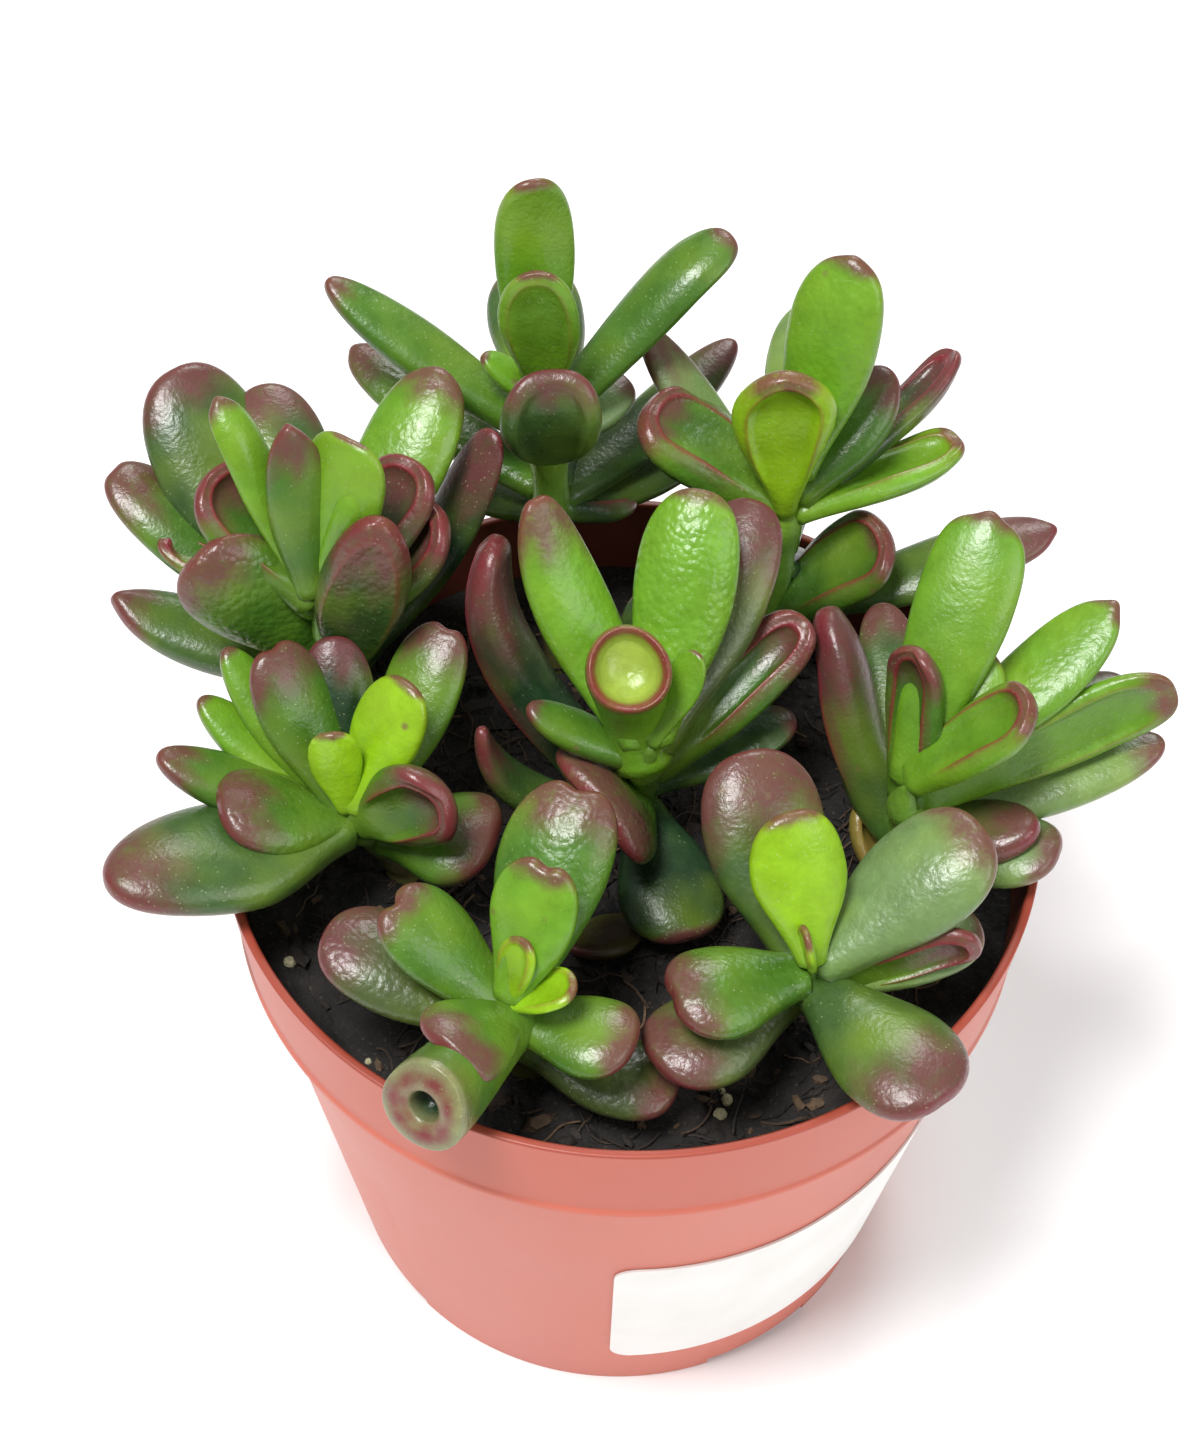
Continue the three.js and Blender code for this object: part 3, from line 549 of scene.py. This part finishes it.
def add_cup(skins, base, tip, width, hue, blush, form):
    """A tubular leaf that ends in a dish with a thick red rim."""
    base, tip, face = np.array(base, float), np.array(tip, float), unit(form["face"])
    middle = tip - face * CUP_BACK * np.linalg.norm(tip - base)
    mouth = form["mouth"]
    wide_face = smooth(0.7, 0.4, mouth)

    # Each row is the place along the tube, the size to the width, and the lift off the tube's end
    outside = [(t, lerp(form["neck"], 1, smooth(0, 1, t)), 0) for t in np.linspace(0, 0.96, 18)]
    profile = through([outside[-1], (1, 0.99, 0.02), (1, 0.95, 0.06), (1, (1 + mouth) / 2, 0.08),
                       (1, mouth + 0.02, 0.03), (1, 0.9 * mouth, -0.05), (1, 0.78 * mouth, -0.13),
                       (1, 0.5 * mouth, -0.21), (1, 0.02, -0.24)], 4)
    around = angles(LEAF_SIDES)
    low_side = bump_at(np.cos(around + np.pi / 2), 1, 0.5)
    uneven = 1 + 0.03 * np.sin(2 * around + width) + 0.02 * np.sin(3 * around)
    dish = lerp(linear(DISH_HUE), linear(HUES["dark"]), wide_face)
    across = unit(np.cross(face, (0, 0, 1)))
    rings, rims, blushes, hues = [], [], [], []
    for t, size, lift in np.vstack([outside[:-1], profile]):
        t = min(t, 1)
        along = unit(lerp(middle - base, tip - middle, t)) if t < 1 else face
        across = unit(across - along * (across @ along))
        centre = (1 - t) ** 2 * base + 2 * t * (1 - t) * middle + t * t * tip + face * lift * width
        dip = CUP_DIP * width * low_side * smooth(0.9, 1, t) * smooth(0.4, 0.9, size)
        reach = width / 2 * size * uneven[:, None]
        rings.append(ring_around(centre - dip[:, None] * face, across, along, reach, LEAF_SIDES))
        on_end = smooth(0.94, 1, t)
        in_dish = on_end * smooth(mouth + 0.04, mouth - 0.1, size)
        ring_line = bump_at(size, mouth + 0.08, 0.11) * (1 - 0.5 * wide_face)
        band = bump_at(size, (1 + mouth) / 2 - 0.04, 0.17) * wide_face
        ragged = 1 - wide_face * (0.25 - 0.25 * np.sin(5 * around + 2 * size) * np.cos(2 * around))
        red = on_end * max(1.5 * ring_line, 0.95 * band)
        rims.append(np.clip(red * (1 - 0.3 * low_side) * ragged, 0, 1))
        blushes.append(smooth(1 - blush, 1, t) * (0.5 + 0.5 * band) * (size > mouth) * ragged)
        tube = lerp(linear(HUES[hue]), linear(FACE_HUE), 0.8 * on_end * wide_face)
        hues.append(np.tile(lerp(tube, dish, in_dish), (LEAF_SIDES, 1)))
    skins.add(base, np.array(rings), rings[-1].mean(0), base=np.array(hues), blush=np.array(blushes),
              rim=np.array(rims), pebbly=CUP_PEBBLY)


# Stems

STEM_RINGS = 40
STEM_SIDES = 20
STEM_TAPER = 0.72
STEM_PEBBLY = 0.3
CROWN_SWELL = 1.0
CROWN_SPREAD = 0.14
CROWN_TAPER = 0.84
CROWN_CLOSED = 0.92
BARK_TOP = 74
GREEN_FROM = 86


def point_on(points, part):
    lengths = np.linalg.norm(np.diff(points, axis=0), axis=1)
    ends = np.concatenate([[0], np.cumsum(lengths)])
    return np.array([np.interp(part * ends[-1], ends, points[:, axis]) for axis in range(3)])


def add_stem(skins, points, radius):
    parts = np.linspace(0, 1, STEM_RINGS)
    centres = np.array([point_on(points, part) for part in parts])
    rings = []
    for centre, heading, part in zip(centres, np.gradient(centres, axis=0), parts):
        along = unit(heading)
        across = unit(np.array([1.0, 0, 0]) - along * along[0])
        size = radius * lerp(1, STEM_TAPER, part) + CROWN_SWELL * bump_at(part, 1, CROWN_SPREAD)
        size *= 1 - CROWN_CLOSED * (max(0, part - CROWN_TAPER) / (1 - CROWN_TAPER)) ** 1.4
        knots = 1 + 0.06 * np.sin(38 * part) + 0.04 * np.sin(3 * angles(STEM_SIDES) + 9 * part)
        rings.append(ring_around(centre, across, along, (size * knots)[:, None], STEM_SIDES))
    rings = np.array(rings)
    green = smooth(BARK_TOP, GREEN_FROM, rings[..., 2])[..., None]
    skins.add(centres[0], rings, centres[-1], base=lerp(linear(BARK_HUE), linear(CROWN_HUE), green),
              blush=0.0, rim=0.0, pebbly=STEM_PEBBLY)


def cutting(name, stem, radius, leaves, material):
    points = np.array(stem, float)
    skins = Skins()
    add_stem(skins, points, radius)
    for kind, part, tip, width, hue, blush, form in leaves:
        add = add_cup if kind == "cup" else add_leaf
        add(skins, point_on(points, part), tip, width, hue, blush, form)
    piece = skins.piece(name, material)
    return piece


# Pot

POT_SEGMENTS = 224
ROUND_STEPS = 4
DRAIN_SIDES = 40
CUT_PAST = 1
SHARP_EDGE = 40
BODY_TOP_RADIUS = COLLAR_RADIUS - COLLAR_STEP
BODY_SLOPE = (BODY_TOP_RADIUS - FOOT_RADIUS) / COLLAR_BOTTOM
COLLAR_SLOPE = (LIP_RADIUS - COLLAR_RADIUS) / (POT_HEIGHT - COLLAR_BOTTOM)
FLOOR_TOP = RECESS_DEPTH + FLOOR


def outer_radius(z):
    return FOOT_RADIUS + BODY_SLOPE * z


def inner_radius(z):
    if z < COLLAR_BOTTOM:
        return outer_radius(z) - WALL
    return COLLAR_RADIUS - WALL + COLLAR_SLOPE * (z - COLLAR_BOTTOM)


def rounded(corners):
    """The outline through corners of (radius, height, amount), each cut back by its amount and rounded."""
    spots = np.array(corners, float)[:, :2]
    result = []
    for k, (_, _, amount) in enumerate(corners):
        corner = spots[k]
        if not amount:
            result.append(corner)
            continue
        before = corner + unit(spots[k - 1] - corner) * amount
        after = corner + unit(spots[k + 1] - corner) * amount
        for part in np.linspace(0, 1, ROUND_STEPS + 1):
            result.append((1 - part) ** 2 * before + 2 * part * (1 - part) * corner + part ** 2 * after)
    return result


def turned(outline, segments):
    """Points and faces of a solid of revolution, from an outline that starts and ends on the axis."""
    around = angles(segments)
    body = np.array(outline[1:-1])
    rings = np.stack([body[:, :1] * np.cos(around), body[:, :1] * np.sin(around),
                      np.repeat(body[:, 1:], segments, axis=1)], axis=-1)
    ends = [(0, 0, outline[0][1]), (0, 0, outline[-1][1])]
    points = np.vstack([ends[:1], rings.reshape(-1, 3), ends[1:]])
    return points, ring_faces(len(body), segments)


def prism(corners, bottom, top):
    count = len(corners)
    points = [(x, y, bottom) for x, y in corners] + [(x, y, top) for x, y in corners]
    faces = [tuple(range(count))[::-1], tuple(range(count, 2 * count))]
    faces += [(k, (k + 1) % count, count + (k + 1) % count, count + k) for k in range(count)]
    return points, faces


def cut_away(piece, tool):
    modifier = piece.modifiers.new("cut", "BOOLEAN")
    modifier.operation = "DIFFERENCE"
    modifier.solver = "EXACT"
    modifier.object = tool
    depsgraph = bpy.context.evaluated_depsgraph_get()
    mesh = bpy.data.meshes.new_from_object(piece.evaluated_get(depsgraph))
    piece.modifiers.clear()
    piece.data = mesh
    bpy.data.objects.remove(tool)


def make_pot(material):
    points, faces = turned(rounded([
        (0, 0, 0),
        (RECESS_INNER, 0, RECESS_ROUND),
        (RECESS_INNER + RECESS_SLOPE, RECESS_DEPTH, RECESS_ROUND),
        (RECESS_OUTER, RECESS_DEPTH, RECESS_ROUND),
        (RECESS_OUTER + RECESS_SLOPE, 0, EDGE_ROUND),
        (FOOT_RADIUS, 0, EDGE_ROUND),
        (BODY_TOP_RADIUS, COLLAR_BOTTOM, FOLD_ROUND),
        (COLLAR_RADIUS + BEAD, COLLAR_BOTTOM, EDGE_ROUND),
        (COLLAR_RADIUS + BEAD, COLLAR_BOTTOM + BEAD_HEIGHT, EDGE_ROUND),
        (COLLAR_RADIUS + BEAD / 5, COLLAR_BOTTOM + 1.6 * BEAD_HEIGHT, FOLD_ROUND),
        (LIP_RADIUS, POT_HEIGHT, LIP_ROUND),
        (LIP_RADIUS - WALL, POT_HEIGHT, LIP_ROUND),
        (COLLAR_RADIUS - WALL, COLLAR_BOTTOM + WALL, EDGE_ROUND),
        (BODY_TOP_RADIUS - WALL, COLLAR_BOTTOM, FOLD_ROUND),
        (inner_radius(FLOOR_TOP), FLOOR_TOP, FLOOR_ROUND),
        (0, FLOOR_TOP, 0),
    ]), POT_SEGMENTS)
    pot = mesh_object("fine_pot", points, faces, material)
    half = math.radians(NOTCH_SPAN / 2)
    near, far = RECESS_INNER + RECESS_DEPTH, FOOT_RADIUS * 1.3
    for k in range(NOTCH_COUNT):
        middle = math.radians(NOTCH_FIRST_ANGLE + 360 / NOTCH_COUNT * k)
        corners = [polar(radius, middle + angle)
                   for radius, angle in ((near, -half), (far, -half), (far, half), (near, half))]
        cut_away(pot, bare_object("notch", *prism(corners, -CUT_PAST, NOTCH_HEIGHT)))
        x, y = polar(DRAIN_RING, middle)
        corners = [(x + DRAIN_RADIUS * math.cos(angle), y + DRAIN_RADIUS * math.sin(angle))
                   for angle in angles(DRAIN_SIDES)]
        cut_away(pot, bare_object("drain", *prism(corners, -CUT_PAST, FLOOR_TOP + CUT_PAST)))
    pot.data.shade_smooth()
    pot.data.set_sharp_from_angle(angle=math.radians(SHARP_EDGE))
    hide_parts("pot")


# Soil

SOIL_RINGS = 110
SOIL_SEGMENTS = 260
SOIL_EDGE = 4
SOIL_EDGE_RISE = 0.5
LEDGE_GAP = 0.1


def soil_height(x, y):
    swell = np.sin(0.19 * x + 0.7) * np.cos(0.16 * y - 0.4)
    lumps = np.sin(0.61 * x - 0.35 * y) * np.cos(0.47 * y + 0.29 * x)
    return SOIL_LEVEL + SOIL_RELIEF * (0.7 * swell + 0.5 * lumps)


def crumb(x, y):
    """Fine relief of the potting mix, in millimetres."""
    spot = Vector((x, y, 0))
    clods = noise.fractal(spot * 0.22, 1.0, 2.0, 3) * 0.9
    grains = noise.fractal(spot * 1.1 + Vector((40, 7, 3)), 0.8, 2.0, 3) * 0.35
    return clods + grains


def make_soil(material):
    edge = inner_radius(SOIL_LEVEL) - SOIL_GAP
    below = [(0, FLOOR_TOP + SOIL_GAP), (inner_radius(FLOOR_TOP) - SOIL_GAP, FLOOR_TOP + SOIL_GAP),
             (BODY_TOP_RADIUS - WALL - SOIL_GAP, COLLAR_BOTTOM),
             (COLLAR_RADIUS - WALL - SOIL_GAP, COLLAR_BOTTOM + WALL + LEDGE_GAP)]
    radii = edge * (1 - (np.arange(SOIL_RINGS) / SOIL_RINGS))
    outline = below + [(radius, SOIL_LEVEL) for radius in radii] + [(0, SOIL_LEVEL)]
    points, faces = turned(outline, SOIL_SEGMENTS)
    for point in points:
        x, y, z = point
        if z == SOIL_LEVEL:
            inside = smooth(edge, edge - SOIL_EDGE, math.hypot(x, y))
            point[2] = soil_height(x, y) + crumb(x, y) * inside + SOIL_EDGE_RISE * (1 - inside)
    soil = mesh_object("fine_soil", points, faces, material)
    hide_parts("soil")


# Litter on the soil

CHIP_COUNT = 620
CHIP_REACH = 45.5
CHIP_SHARP_EDGE = 28
LARGE_CHIP_EVERY = 12
LARGE_CHIP = 1.7
FIBRE_COUNT = 520
FIBRE_REACH = 44
FIBRE_LIMIT = 46
FIBRE_POINTS = 5
FIBRE_SIDES = 5
SINK = 0.35
PERLITE = [(12.4, -37.5, 0.9), (13.2, -35.9, 0.8), (12.6, -34.6, 0.5), (-41, -19, 0.9), (32.2, -20.7, 1.2),
           (-14, -45, 0.5), (24, -38, 0.5), (36, -27, 0.6), (-30, -33, 0.5), (2, -44.5, 0.4)]
FALLEN_LEAF = {"base": (3, -11, 73.2), "tip": (-7, -16, 73.6), "width": 8, "hue": "dried", "blush": 0.1,
               "form": {**FORMS["withered"], "turn": 15, "bend": 25}}


def soil_top(x, y):
    return soil_height(x, y) + crumb(x, y)


def on_soil(reach):
    radius = reach * math.sqrt(rng.uniform())
    return polar(radius, rng.uniform(0, 2 * np.pi))


def add_lump(skins, x, y, size, hue, rings=4, sides=6, rough=0.32):
    """An irregular chip or grain, turned at random and pressed into the soil."""
    down = np.linspace(0, np.pi, rings + 2)[1:-1, None]
    around = angles(sides)[None, :]
    shape = np.stack([np.sin(down) * np.cos(around), np.sin(down) * np.sin(around),
                      np.cos(down) * np.ones_like(around)], axis=-1)
    shape = shape * (1 + rng.uniform(-rough, rough, shape.shape[:2]))[..., None] * np.asarray(size)
    turn = np.array(Matrix.Rotation(rng.uniform(0, 6.28), 3, "Z")
                    @ Matrix.Rotation(rng.uniform(-0.5, 0.5), 3, "X"))
    place = np.array([x, y, soil_top(x, y) + size[2] * (1 - 2 * SINK)])
    ends = [np.array([0, 0, side * size[2]]) @ turn.T + place for side in (1, -1)]
    skins.add(ends[0], shape @ turn.T + place, ends[1],
              base=np.ones(shape.shape) * linear(hue) * rng.uniform(0.8, 1.2))


def add_fibre(skins, x, y):
    length = rng.uniform(3, 11)
    angle = rng.uniform(0, 2 * np.pi)
    stretch = []
    for _ in range(FIBRE_POINTS):
        stretch.append([x, y, soil_top(x, y) + rng.uniform(0.0, 0.9)])
        x += length / (FIBRE_POINTS - 1) * math.cos(angle)
        y += length / (FIBRE_POINTS - 1) * math.sin(angle)
        angle += rng.uniform(-0.6, 0.6)
        if math.hypot(x, y) > FIBRE_LIMIT:
            return
    line = through(stretch, 3)
    size = rng.uniform(0.07, 0.18)
    rings = []
    for centre, heading in zip(line, np.gradient(line, axis=0)):
        along = unit(heading)
        rings.append(ring_around(centre, unit(np.cross(along, (0, 0, 1))), along, size, FIBRE_SIDES))
    hue = linear(CHIP_HUES[rng.integers(len(CHIP_HUES))]) * rng.uniform(0.8, 2.6)
    rings = np.array(rings)
    skins.add(line[0], rings, line[-1], base=np.ones(rings.shape) * hue)


def make_litter(material, leaf_material):
    chips = Skins()
    for k in range(CHIP_COUNT):
        x, y = on_soil(CHIP_REACH)
        length = rng.uniform(0.4, 1.5) * (LARGE_CHIP if k % LARGE_CHIP_EVERY == 0 else 1)
        size = (length, length * rng.uniform(0.35, 0.7), length * rng.uniform(0.2, 0.45))
        add_lump(chips, x, y, size, CHIP_HUES[k % len(CHIP_HUES)])
    for x, y, size in PERLITE:
        add_lump(chips, x, y, (size, size * 0.9, size * 0.8), PERLITE_HUE, rings=7, sides=12, rough=0.07)
    for _ in range(FIBRE_COUNT):
        add_fibre(chips, *on_soil(FIBRE_REACH))
    litter = chips.piece("soil_litter", material)
    litter.data.set_sharp_from_angle(angle=math.radians(CHIP_SHARP_EDGE))
    fallen = Skins()
    add_leaf(fallen, **FALLEN_LEAF)
    fallen = fallen.piece("fallen_leaf", leaf_material)


# Label

LABEL_COLUMNS = 120
LABEL_ROWS = 9
CORNER_STEPS = 9


def make_label(material):
    slope = math.atan(BODY_SLOPE)
    middle_radius = outer_radius(LABEL_BOTTOM + LABEL_HEIGHT / 2 * math.cos(slope))
    corner = LABEL_CORNER * (1 - np.cos(np.linspace(0, np.pi / 2, CORNER_STEPS)))
    between = np.linspace(LABEL_CORNER, LABEL_LENGTH - LABEL_CORNER, LABEL_COLUMNS)[1:-1]
    up_parts = np.linspace(0, 1, LABEL_ROWS)
    rings = []
    for along in [*corner, *between, *(LABEL_LENGTH - corner[::-1])]:
        from_end = min(along, LABEL_LENGTH - along, LABEL_CORNER)
        cut = LABEL_CORNER - math.sqrt(LABEL_CORNER ** 2 - (LABEL_CORNER - from_end) ** 2)
        angle = math.radians(LABEL_START_ANGLE) + along / middle_radius
        section = [(cut + (LABEL_HEIGHT - 2 * cut) * part, LABEL_GAP) for part in up_parts]
        section += [(up, LABEL_THICKNESS) for up, _ in section[::-1]]
        ring = []
        for up, out in section:
            z = LABEL_BOTTOM + up * math.cos(slope) - out * math.sin(slope)
            radius = outer_radius(LABEL_BOTTOM) + up * math.sin(slope) + out * math.cos(slope)
            ring.append((*polar(radius, angle), z))
        rings.append(ring)
    rings = np.array(rings)
    skins = Skins()
    skins.add(rings[0].mean(0), rings, rings[-1].mean(0))
    label = skins.piece("fine_label", material)
    label.data.set_sharp_from_angle(angle=math.radians(SHARP_EDGE))
    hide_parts("label")


# Materials

NOISE_RANGE = (0.3, 0.7)
TRANSLUCENCY_DEPTH = 0.002


class Nodes:
    """Short names for making and joining the nodes of one material."""

    def __init__(self, name):
        self.material = bpy.data.materials.new(name)
        self.material.use_nodes = True
        self.tree = self.material.node_tree
        self.shader = self.tree.nodes["Principled BSDF"]
        self.place = self.tree.nodes.new("ShaderNodeTexCoord").outputs["Object"]

    def node(self, kind, inputs, **settings):
        node = self.tree.nodes.new("ShaderNode" + kind)
        for key, value in settings.items():
            setattr(node, key, value)
        for key, value in inputs.items():
            self.put(value, node.inputs[key])
        return node

    def put(self, value, socket):
        if isinstance(value, bpy.types.NodeSocket):
            self.tree.links.new(value, socket)
        else:
            socket.default_value = value

    def set(self, **values):
        for key, value in values.items():
            self.put(value, self.shader.inputs[key.replace("_", " ")])

    def noise(self, scale, detail, roughness=0.5):
        """Noise with features of about 1/scale metres, from 0 to 1."""
        return self.node("TexNoise", {"Vector": self.place, "Scale": scale, "Detail": detail,
                                      "Roughness": roughness}).outputs["Fac"]

    def spots(self, scale):
        return self.node("TexVoronoi", {"Vector": self.place, "Scale": scale}).outputs["Distance"]

    def ramp(self, value, low, high, start=0.0, end=1.0):
        """The value's range from low to high, as start to end."""
        return self.node("MapRange", {"Value": value, "From Min": low, "From Max": high,
                                      "To Min": start, "To Max": end}).outputs["Result"]

    def swing(self, noise_value, start=0.0, end=1.0):
        """Where noise usually lies, as start to end."""
        return self.ramp(noise_value, *NOISE_RANGE, start, end)

    def math(self, operation, first, second):
        return self.node("Math", {0: first, 1: second}, operation=operation).outputs[0]

    def times(self, first, second):
        return self.math("MULTIPLY", first, second)

    def plus(self, first, second):
        return self.math("ADD", first, second)

    def mix(self, share, first, second, blend="MIX"):
        return self.node("Mix", {"Factor": share, 6: first, 7: second},
                         data_type="RGBA", blend_type=blend).outputs[2]

    def shaded(self, base, shade):
        """The base colour made darker below a shade of 1, and lighter above it."""
        grey = self.node("CombineColor", {"Red": shade, "Green": shade, "Blue": shade}).outputs[0]
        return self.mix(1.0, base, grey, "MULTIPLY")

    def attribute(self, name, output="Fac"):
        return self.node("Attribute", {}, attribute_name=name).outputs[output]

    def bump(self, height, distance, strength):
        node = self.node("Bump", {"Height": height, "Distance": distance, "Strength": strength})
        self.put(node.outputs["Normal"], self.shader.inputs["Normal"])


def leaf_material():
    nodes = Nodes("jade_leaf")
    blush = nodes.attribute("blush")
    rim = nodes.attribute("rim")
    mottle = nodes.noise(300, 4.0, 0.65)
    cloud = nodes.noise(95, 2.0)
    veil = nodes.noise(520, 5.0, 0.7)
    varied = nodes.shaded(nodes.attribute("base", "Color"), nodes.swing(mottle, 0.84, 1.16))
    warm = nodes.mix(nodes.ramp(cloud, 0.42, 0.72, 0.0, 0.34), varied, colour(WARM_HUE))
    broken = nodes.times(blush, nodes.ramp(veil, 0.26, 0.68, 0.55, 1.2))
    flushed = nodes.mix(nodes.ramp(broken, 0.04, 0.9, 0.0, 0.86), warm, colour(BLUSH_HUE))
    red_rim = nodes.times(rim, nodes.ramp(veil, 0.3, 0.65, 0.66, 0.94))
    reddened = nodes.mix(red_rim, flushed, colour(RIM_HUE))
    speck = nodes.times(nodes.ramp(nodes.spots(1300), 0.07, 0.17, 0.45, 0.0),
                        nodes.ramp(nodes.noise(110, 2.0), 0.44, 0.56))
    specked = nodes.mix(speck, reddened, colour(SPECK_HUE))
    scab = nodes.times(nodes.ramp(nodes.spots(150), 0.04, 0.1, 0.8, 0.0),
                       nodes.ramp(nodes.noise(60, 1.0), 0.52, 0.6))
    nodes.set(Base_Color=nodes.mix(scab, specked, colour(SCAB_HUE)),
              Roughness=nodes.swing(mottle, 0.26, 0.4), Specular_IOR_Level=0.5,
              Subsurface_Weight=0.08, Subsurface_Scale=TRANSLUCENCY_DEPTH,
              Subsurface_Radius=(1.0, 0.8, 0.3), Coat_Weight=0.06, Coat_Roughness=0.2)
    pebbles = nodes.ramp(nodes.spots(1000), 0.0, 0.75, 1.0, 0.0)
    fine = nodes.times(nodes.noise(2100, 2.0), 0.5)
    waves = nodes.times(nodes.noise(430, 2.0), 0.65)
    relief = nodes.plus(nodes.times(pebbles, nodes.attribute("pebbly")), nodes.plus(fine, waves))
    nodes.bump(relief, distance=0.0005, strength=0.25)
    return nodes.material


def pot_material():
    nodes = Nodes("terracotta_plastic")
    cloud = nodes.noise(28, 3.0)
    tone = nodes.mix(nodes.swing(cloud), *map(colour, POT_HUES))
    dust = nodes.ramp(nodes.noise(190, 5.0, 0.7), 0.62, 0.8, 0.0, 0.25)
    dusted = nodes.mix(dust, tone, colour(DUST_HUE))

    # Darker on the collar, with painted shade on the top of the lip and on the inner wall above the soil
    height = nodes.node("SeparateXYZ", {"Vector": nodes.place}).outputs["Z"]
    # Painted shade: the top of the lip is mixed towards a darker red
    lip_shade = nodes.ramp(height, (POT_HEIGHT - 0.5) * MM, (POT_HEIGHT - 0.1) * MM, 0.0, 0.75)
    on_collar = nodes.ramp(height, COLLAR_BOTTOM * MM, (COLLAR_BOTTOM + 2) * MM, 0.0, 0.35)
    # Painted shade: the inner wall above the collar's foot is mixed towards a dark brown
    across = nodes.node("VectorMath", {0: nodes.place, 1: (1, 1, 0)}, operation="MULTIPLY").outputs[0]
    radius = nodes.node("VectorMath", {0: across}, operation="LENGTH").outputs["Value"]
    from_axis = nodes.math("SUBTRACT", radius, nodes.times(height, COLLAR_SLOPE))
    inner_face = COLLAR_RADIUS - WALL - COLLAR_SLOPE * COLLAR_BOTTOM
    inside = nodes.times(nodes.ramp(from_axis, (inner_face + 0.5) * MM, (inner_face + 0.1) * MM, 0.0, 0.8),
                         nodes.ramp(height, (COLLAR_BOTTOM + 1) * MM, (COLLAR_BOTTOM + 2) * MM))
    inner_shaded = nodes.mix(inside, nodes.mix(on_collar, dusted, colour(COLLAR_HUE)), colour(INNER_SHADE_HUE))
    nodes.set(Base_Color=nodes.mix(lip_shade, inner_shaded, colour(LIP_SHADE_HUE)),
              Roughness=nodes.swing(cloud, 0.36, 0.46), Specular_IOR_Level=0.5,
              Subsurface_Weight=0.05, Subsurface_Scale=TRANSLUCENCY_DEPTH)
    relief = nodes.plus(nodes.times(nodes.noise(2600, 2.0), 0.15), nodes.noise(60, 1.0))
    nodes.bump(relief, distance=0.0004, strength=0.25)
    return nodes.material


def soil_material():
    nodes = Nodes("potting_mix")
    grain = nodes.noise(900, 5.0, 0.65)
    clod = nodes.noise(160, 4.0, 0.6)
    dark = nodes.mix(nodes.ramp(clod, 0.35, 0.65), *map(colour, SOIL_HUES))
    flecks = nodes.ramp(nodes.spots(900), 0.08, 0.24, 0.5, 0.0)
    nodes.set(Base_Color=nodes.mix(flecks, dark, colour(FLECK_HUE)), Roughness=nodes.swing(grain, 0.7, 1.0))
    nodes.bump(nodes.plus(grain, clod), distance=0.0012, strength=0.9)
    return nodes.material


def litter_material():
    nodes = Nodes("bark_and_fibre")
    grain = nodes.noise(1400, 4.0, 0.6)
    varied = nodes.shaded(nodes.attribute("base", "Color"), nodes.swing(grain, 0.6, 1.35))
    nodes.set(Base_Color=varied, Roughness=nodes.swing(grain, 0.65, 0.95))
    nodes.bump(grain, distance=0.0006, strength=0.8)
    return nodes.material


def label_material():
    nodes = Nodes("label_paper")
    fibre = nodes.noise(1800, 4.0, 0.6)
    tone = nodes.mix(nodes.swing(nodes.noise(90, 2.0)), *map(colour, LABEL_HUES))
    nodes.set(Base_Color=tone, Roughness=nodes.swing(fibre, 0.5, 0.62))
    nodes.bump(fibre, distance=0.0001, strength=0.3)
    return nodes.material


def floor_material():
    nodes = Nodes("studio_floor")
    nodes.set(Base_Color=nodes.mix(nodes.noise(3, 2.0), *map(colour, FLOOR_HUES)), Roughness=0.9)
    return nodes.material


# Studio: the floor is in millimetres, and a light's place and size are in metres and its power in watts

FLOOR_HALF = 6000
SKY_STRENGTH = 0.27
LIGHTS = {
    "key": {"place": (-0.4, -0.36, 1.6), "size": 0.55, "power": 28},
    "fill": {"place": (0.95, -0.6, 0.9), "size": 0.9, "power": 6.5},
    "back": {"place": (0.1, 0.9, 0.9), "size": 0.5, "power": 5},
}
LIGHT_AIM = (0, 0, 0.09)


def area_light(name, place, size, power):
    light = bpy.data.lights.new(name, "AREA")
    light.shape = "DISK"
    light.size = size
    light.energy = power
    lamp = bpy.data.objects.new(name, light)
    lamp.location = place
    aim = Vector(LIGHT_AIM) - Vector(place)
    lamp.rotation_euler = aim.to_track_quat("-Z", "Y").to_euler()
    bpy.context.scene.collection.objects.link(lamp)


def make_studio():
    corners = [(x * FLOOR_HALF, y * FLOOR_HALF, 0) for x, y in ((-1, -1), (1, -1), (1, 1), (-1, 1))]
    floor = bare_object("floor", corners, [(0, 1, 2, 3)])
    floor.data.materials.append(floor_material())
    world = bpy.data.worlds.new("studio")
    world.use_nodes = True
    sky = world.node_tree.nodes["Background"].inputs
    sky["Color"].default_value = (1, 1, 1, 1)
    sky["Strength"].default_value = SKY_STRENGTH
    bpy.context.scene.world = world
    for name, light in LIGHTS.items():
        area_light(name, **light)
    bpy.context.scene.view_settings.view_transform = "Standard"


def make_camera():
    yaw, pitch, roll = map(math.radians, (CAMERA_YAW, CAMERA_PITCH, CAMERA_ROLL))
    forward = Vector((math.sin(yaw) * math.cos(pitch), math.cos(yaw) * math.cos(pitch), -math.sin(pitch)))
    level = Vector((math.cos(yaw), -math.sin(yaw), 0))
    upright = level.cross(forward)
    right = level * math.cos(roll) + upright * math.sin(roll)
    up = upright * math.cos(roll) - level * math.sin(roll)
    camera = bpy.data.cameras.new("camera")
    camera.sensor_width = CAMERA_SENSOR
    camera.lens = CAMERA_LENS
    camera.clip_start = 0.01
    viewer = bpy.data.objects.new("camera", camera)
    basis = Matrix((right, up, -forward)).transposed()
    viewer.matrix_world = Matrix.Translation(CAMERA_PLACE) @ basis.to_4x4()
    bpy.context.scene.collection.objects.link(viewer)
    bpy.context.scene.camera = viewer


# The scene

leaf_skin = leaf_material()
make_pot(pot_material())
make_soil(soil_material())
make_litter(litter_material(), leaf_skin)
make_label(label_material())
for shoot, (stem, radius, leaves) in CUTTINGS.items():
    fine = cutting(shoot.replace("shoot", "cutting"), stem, radius, leaves, leaf_skin)
    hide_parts(shoot)
make_studio()
make_camera()
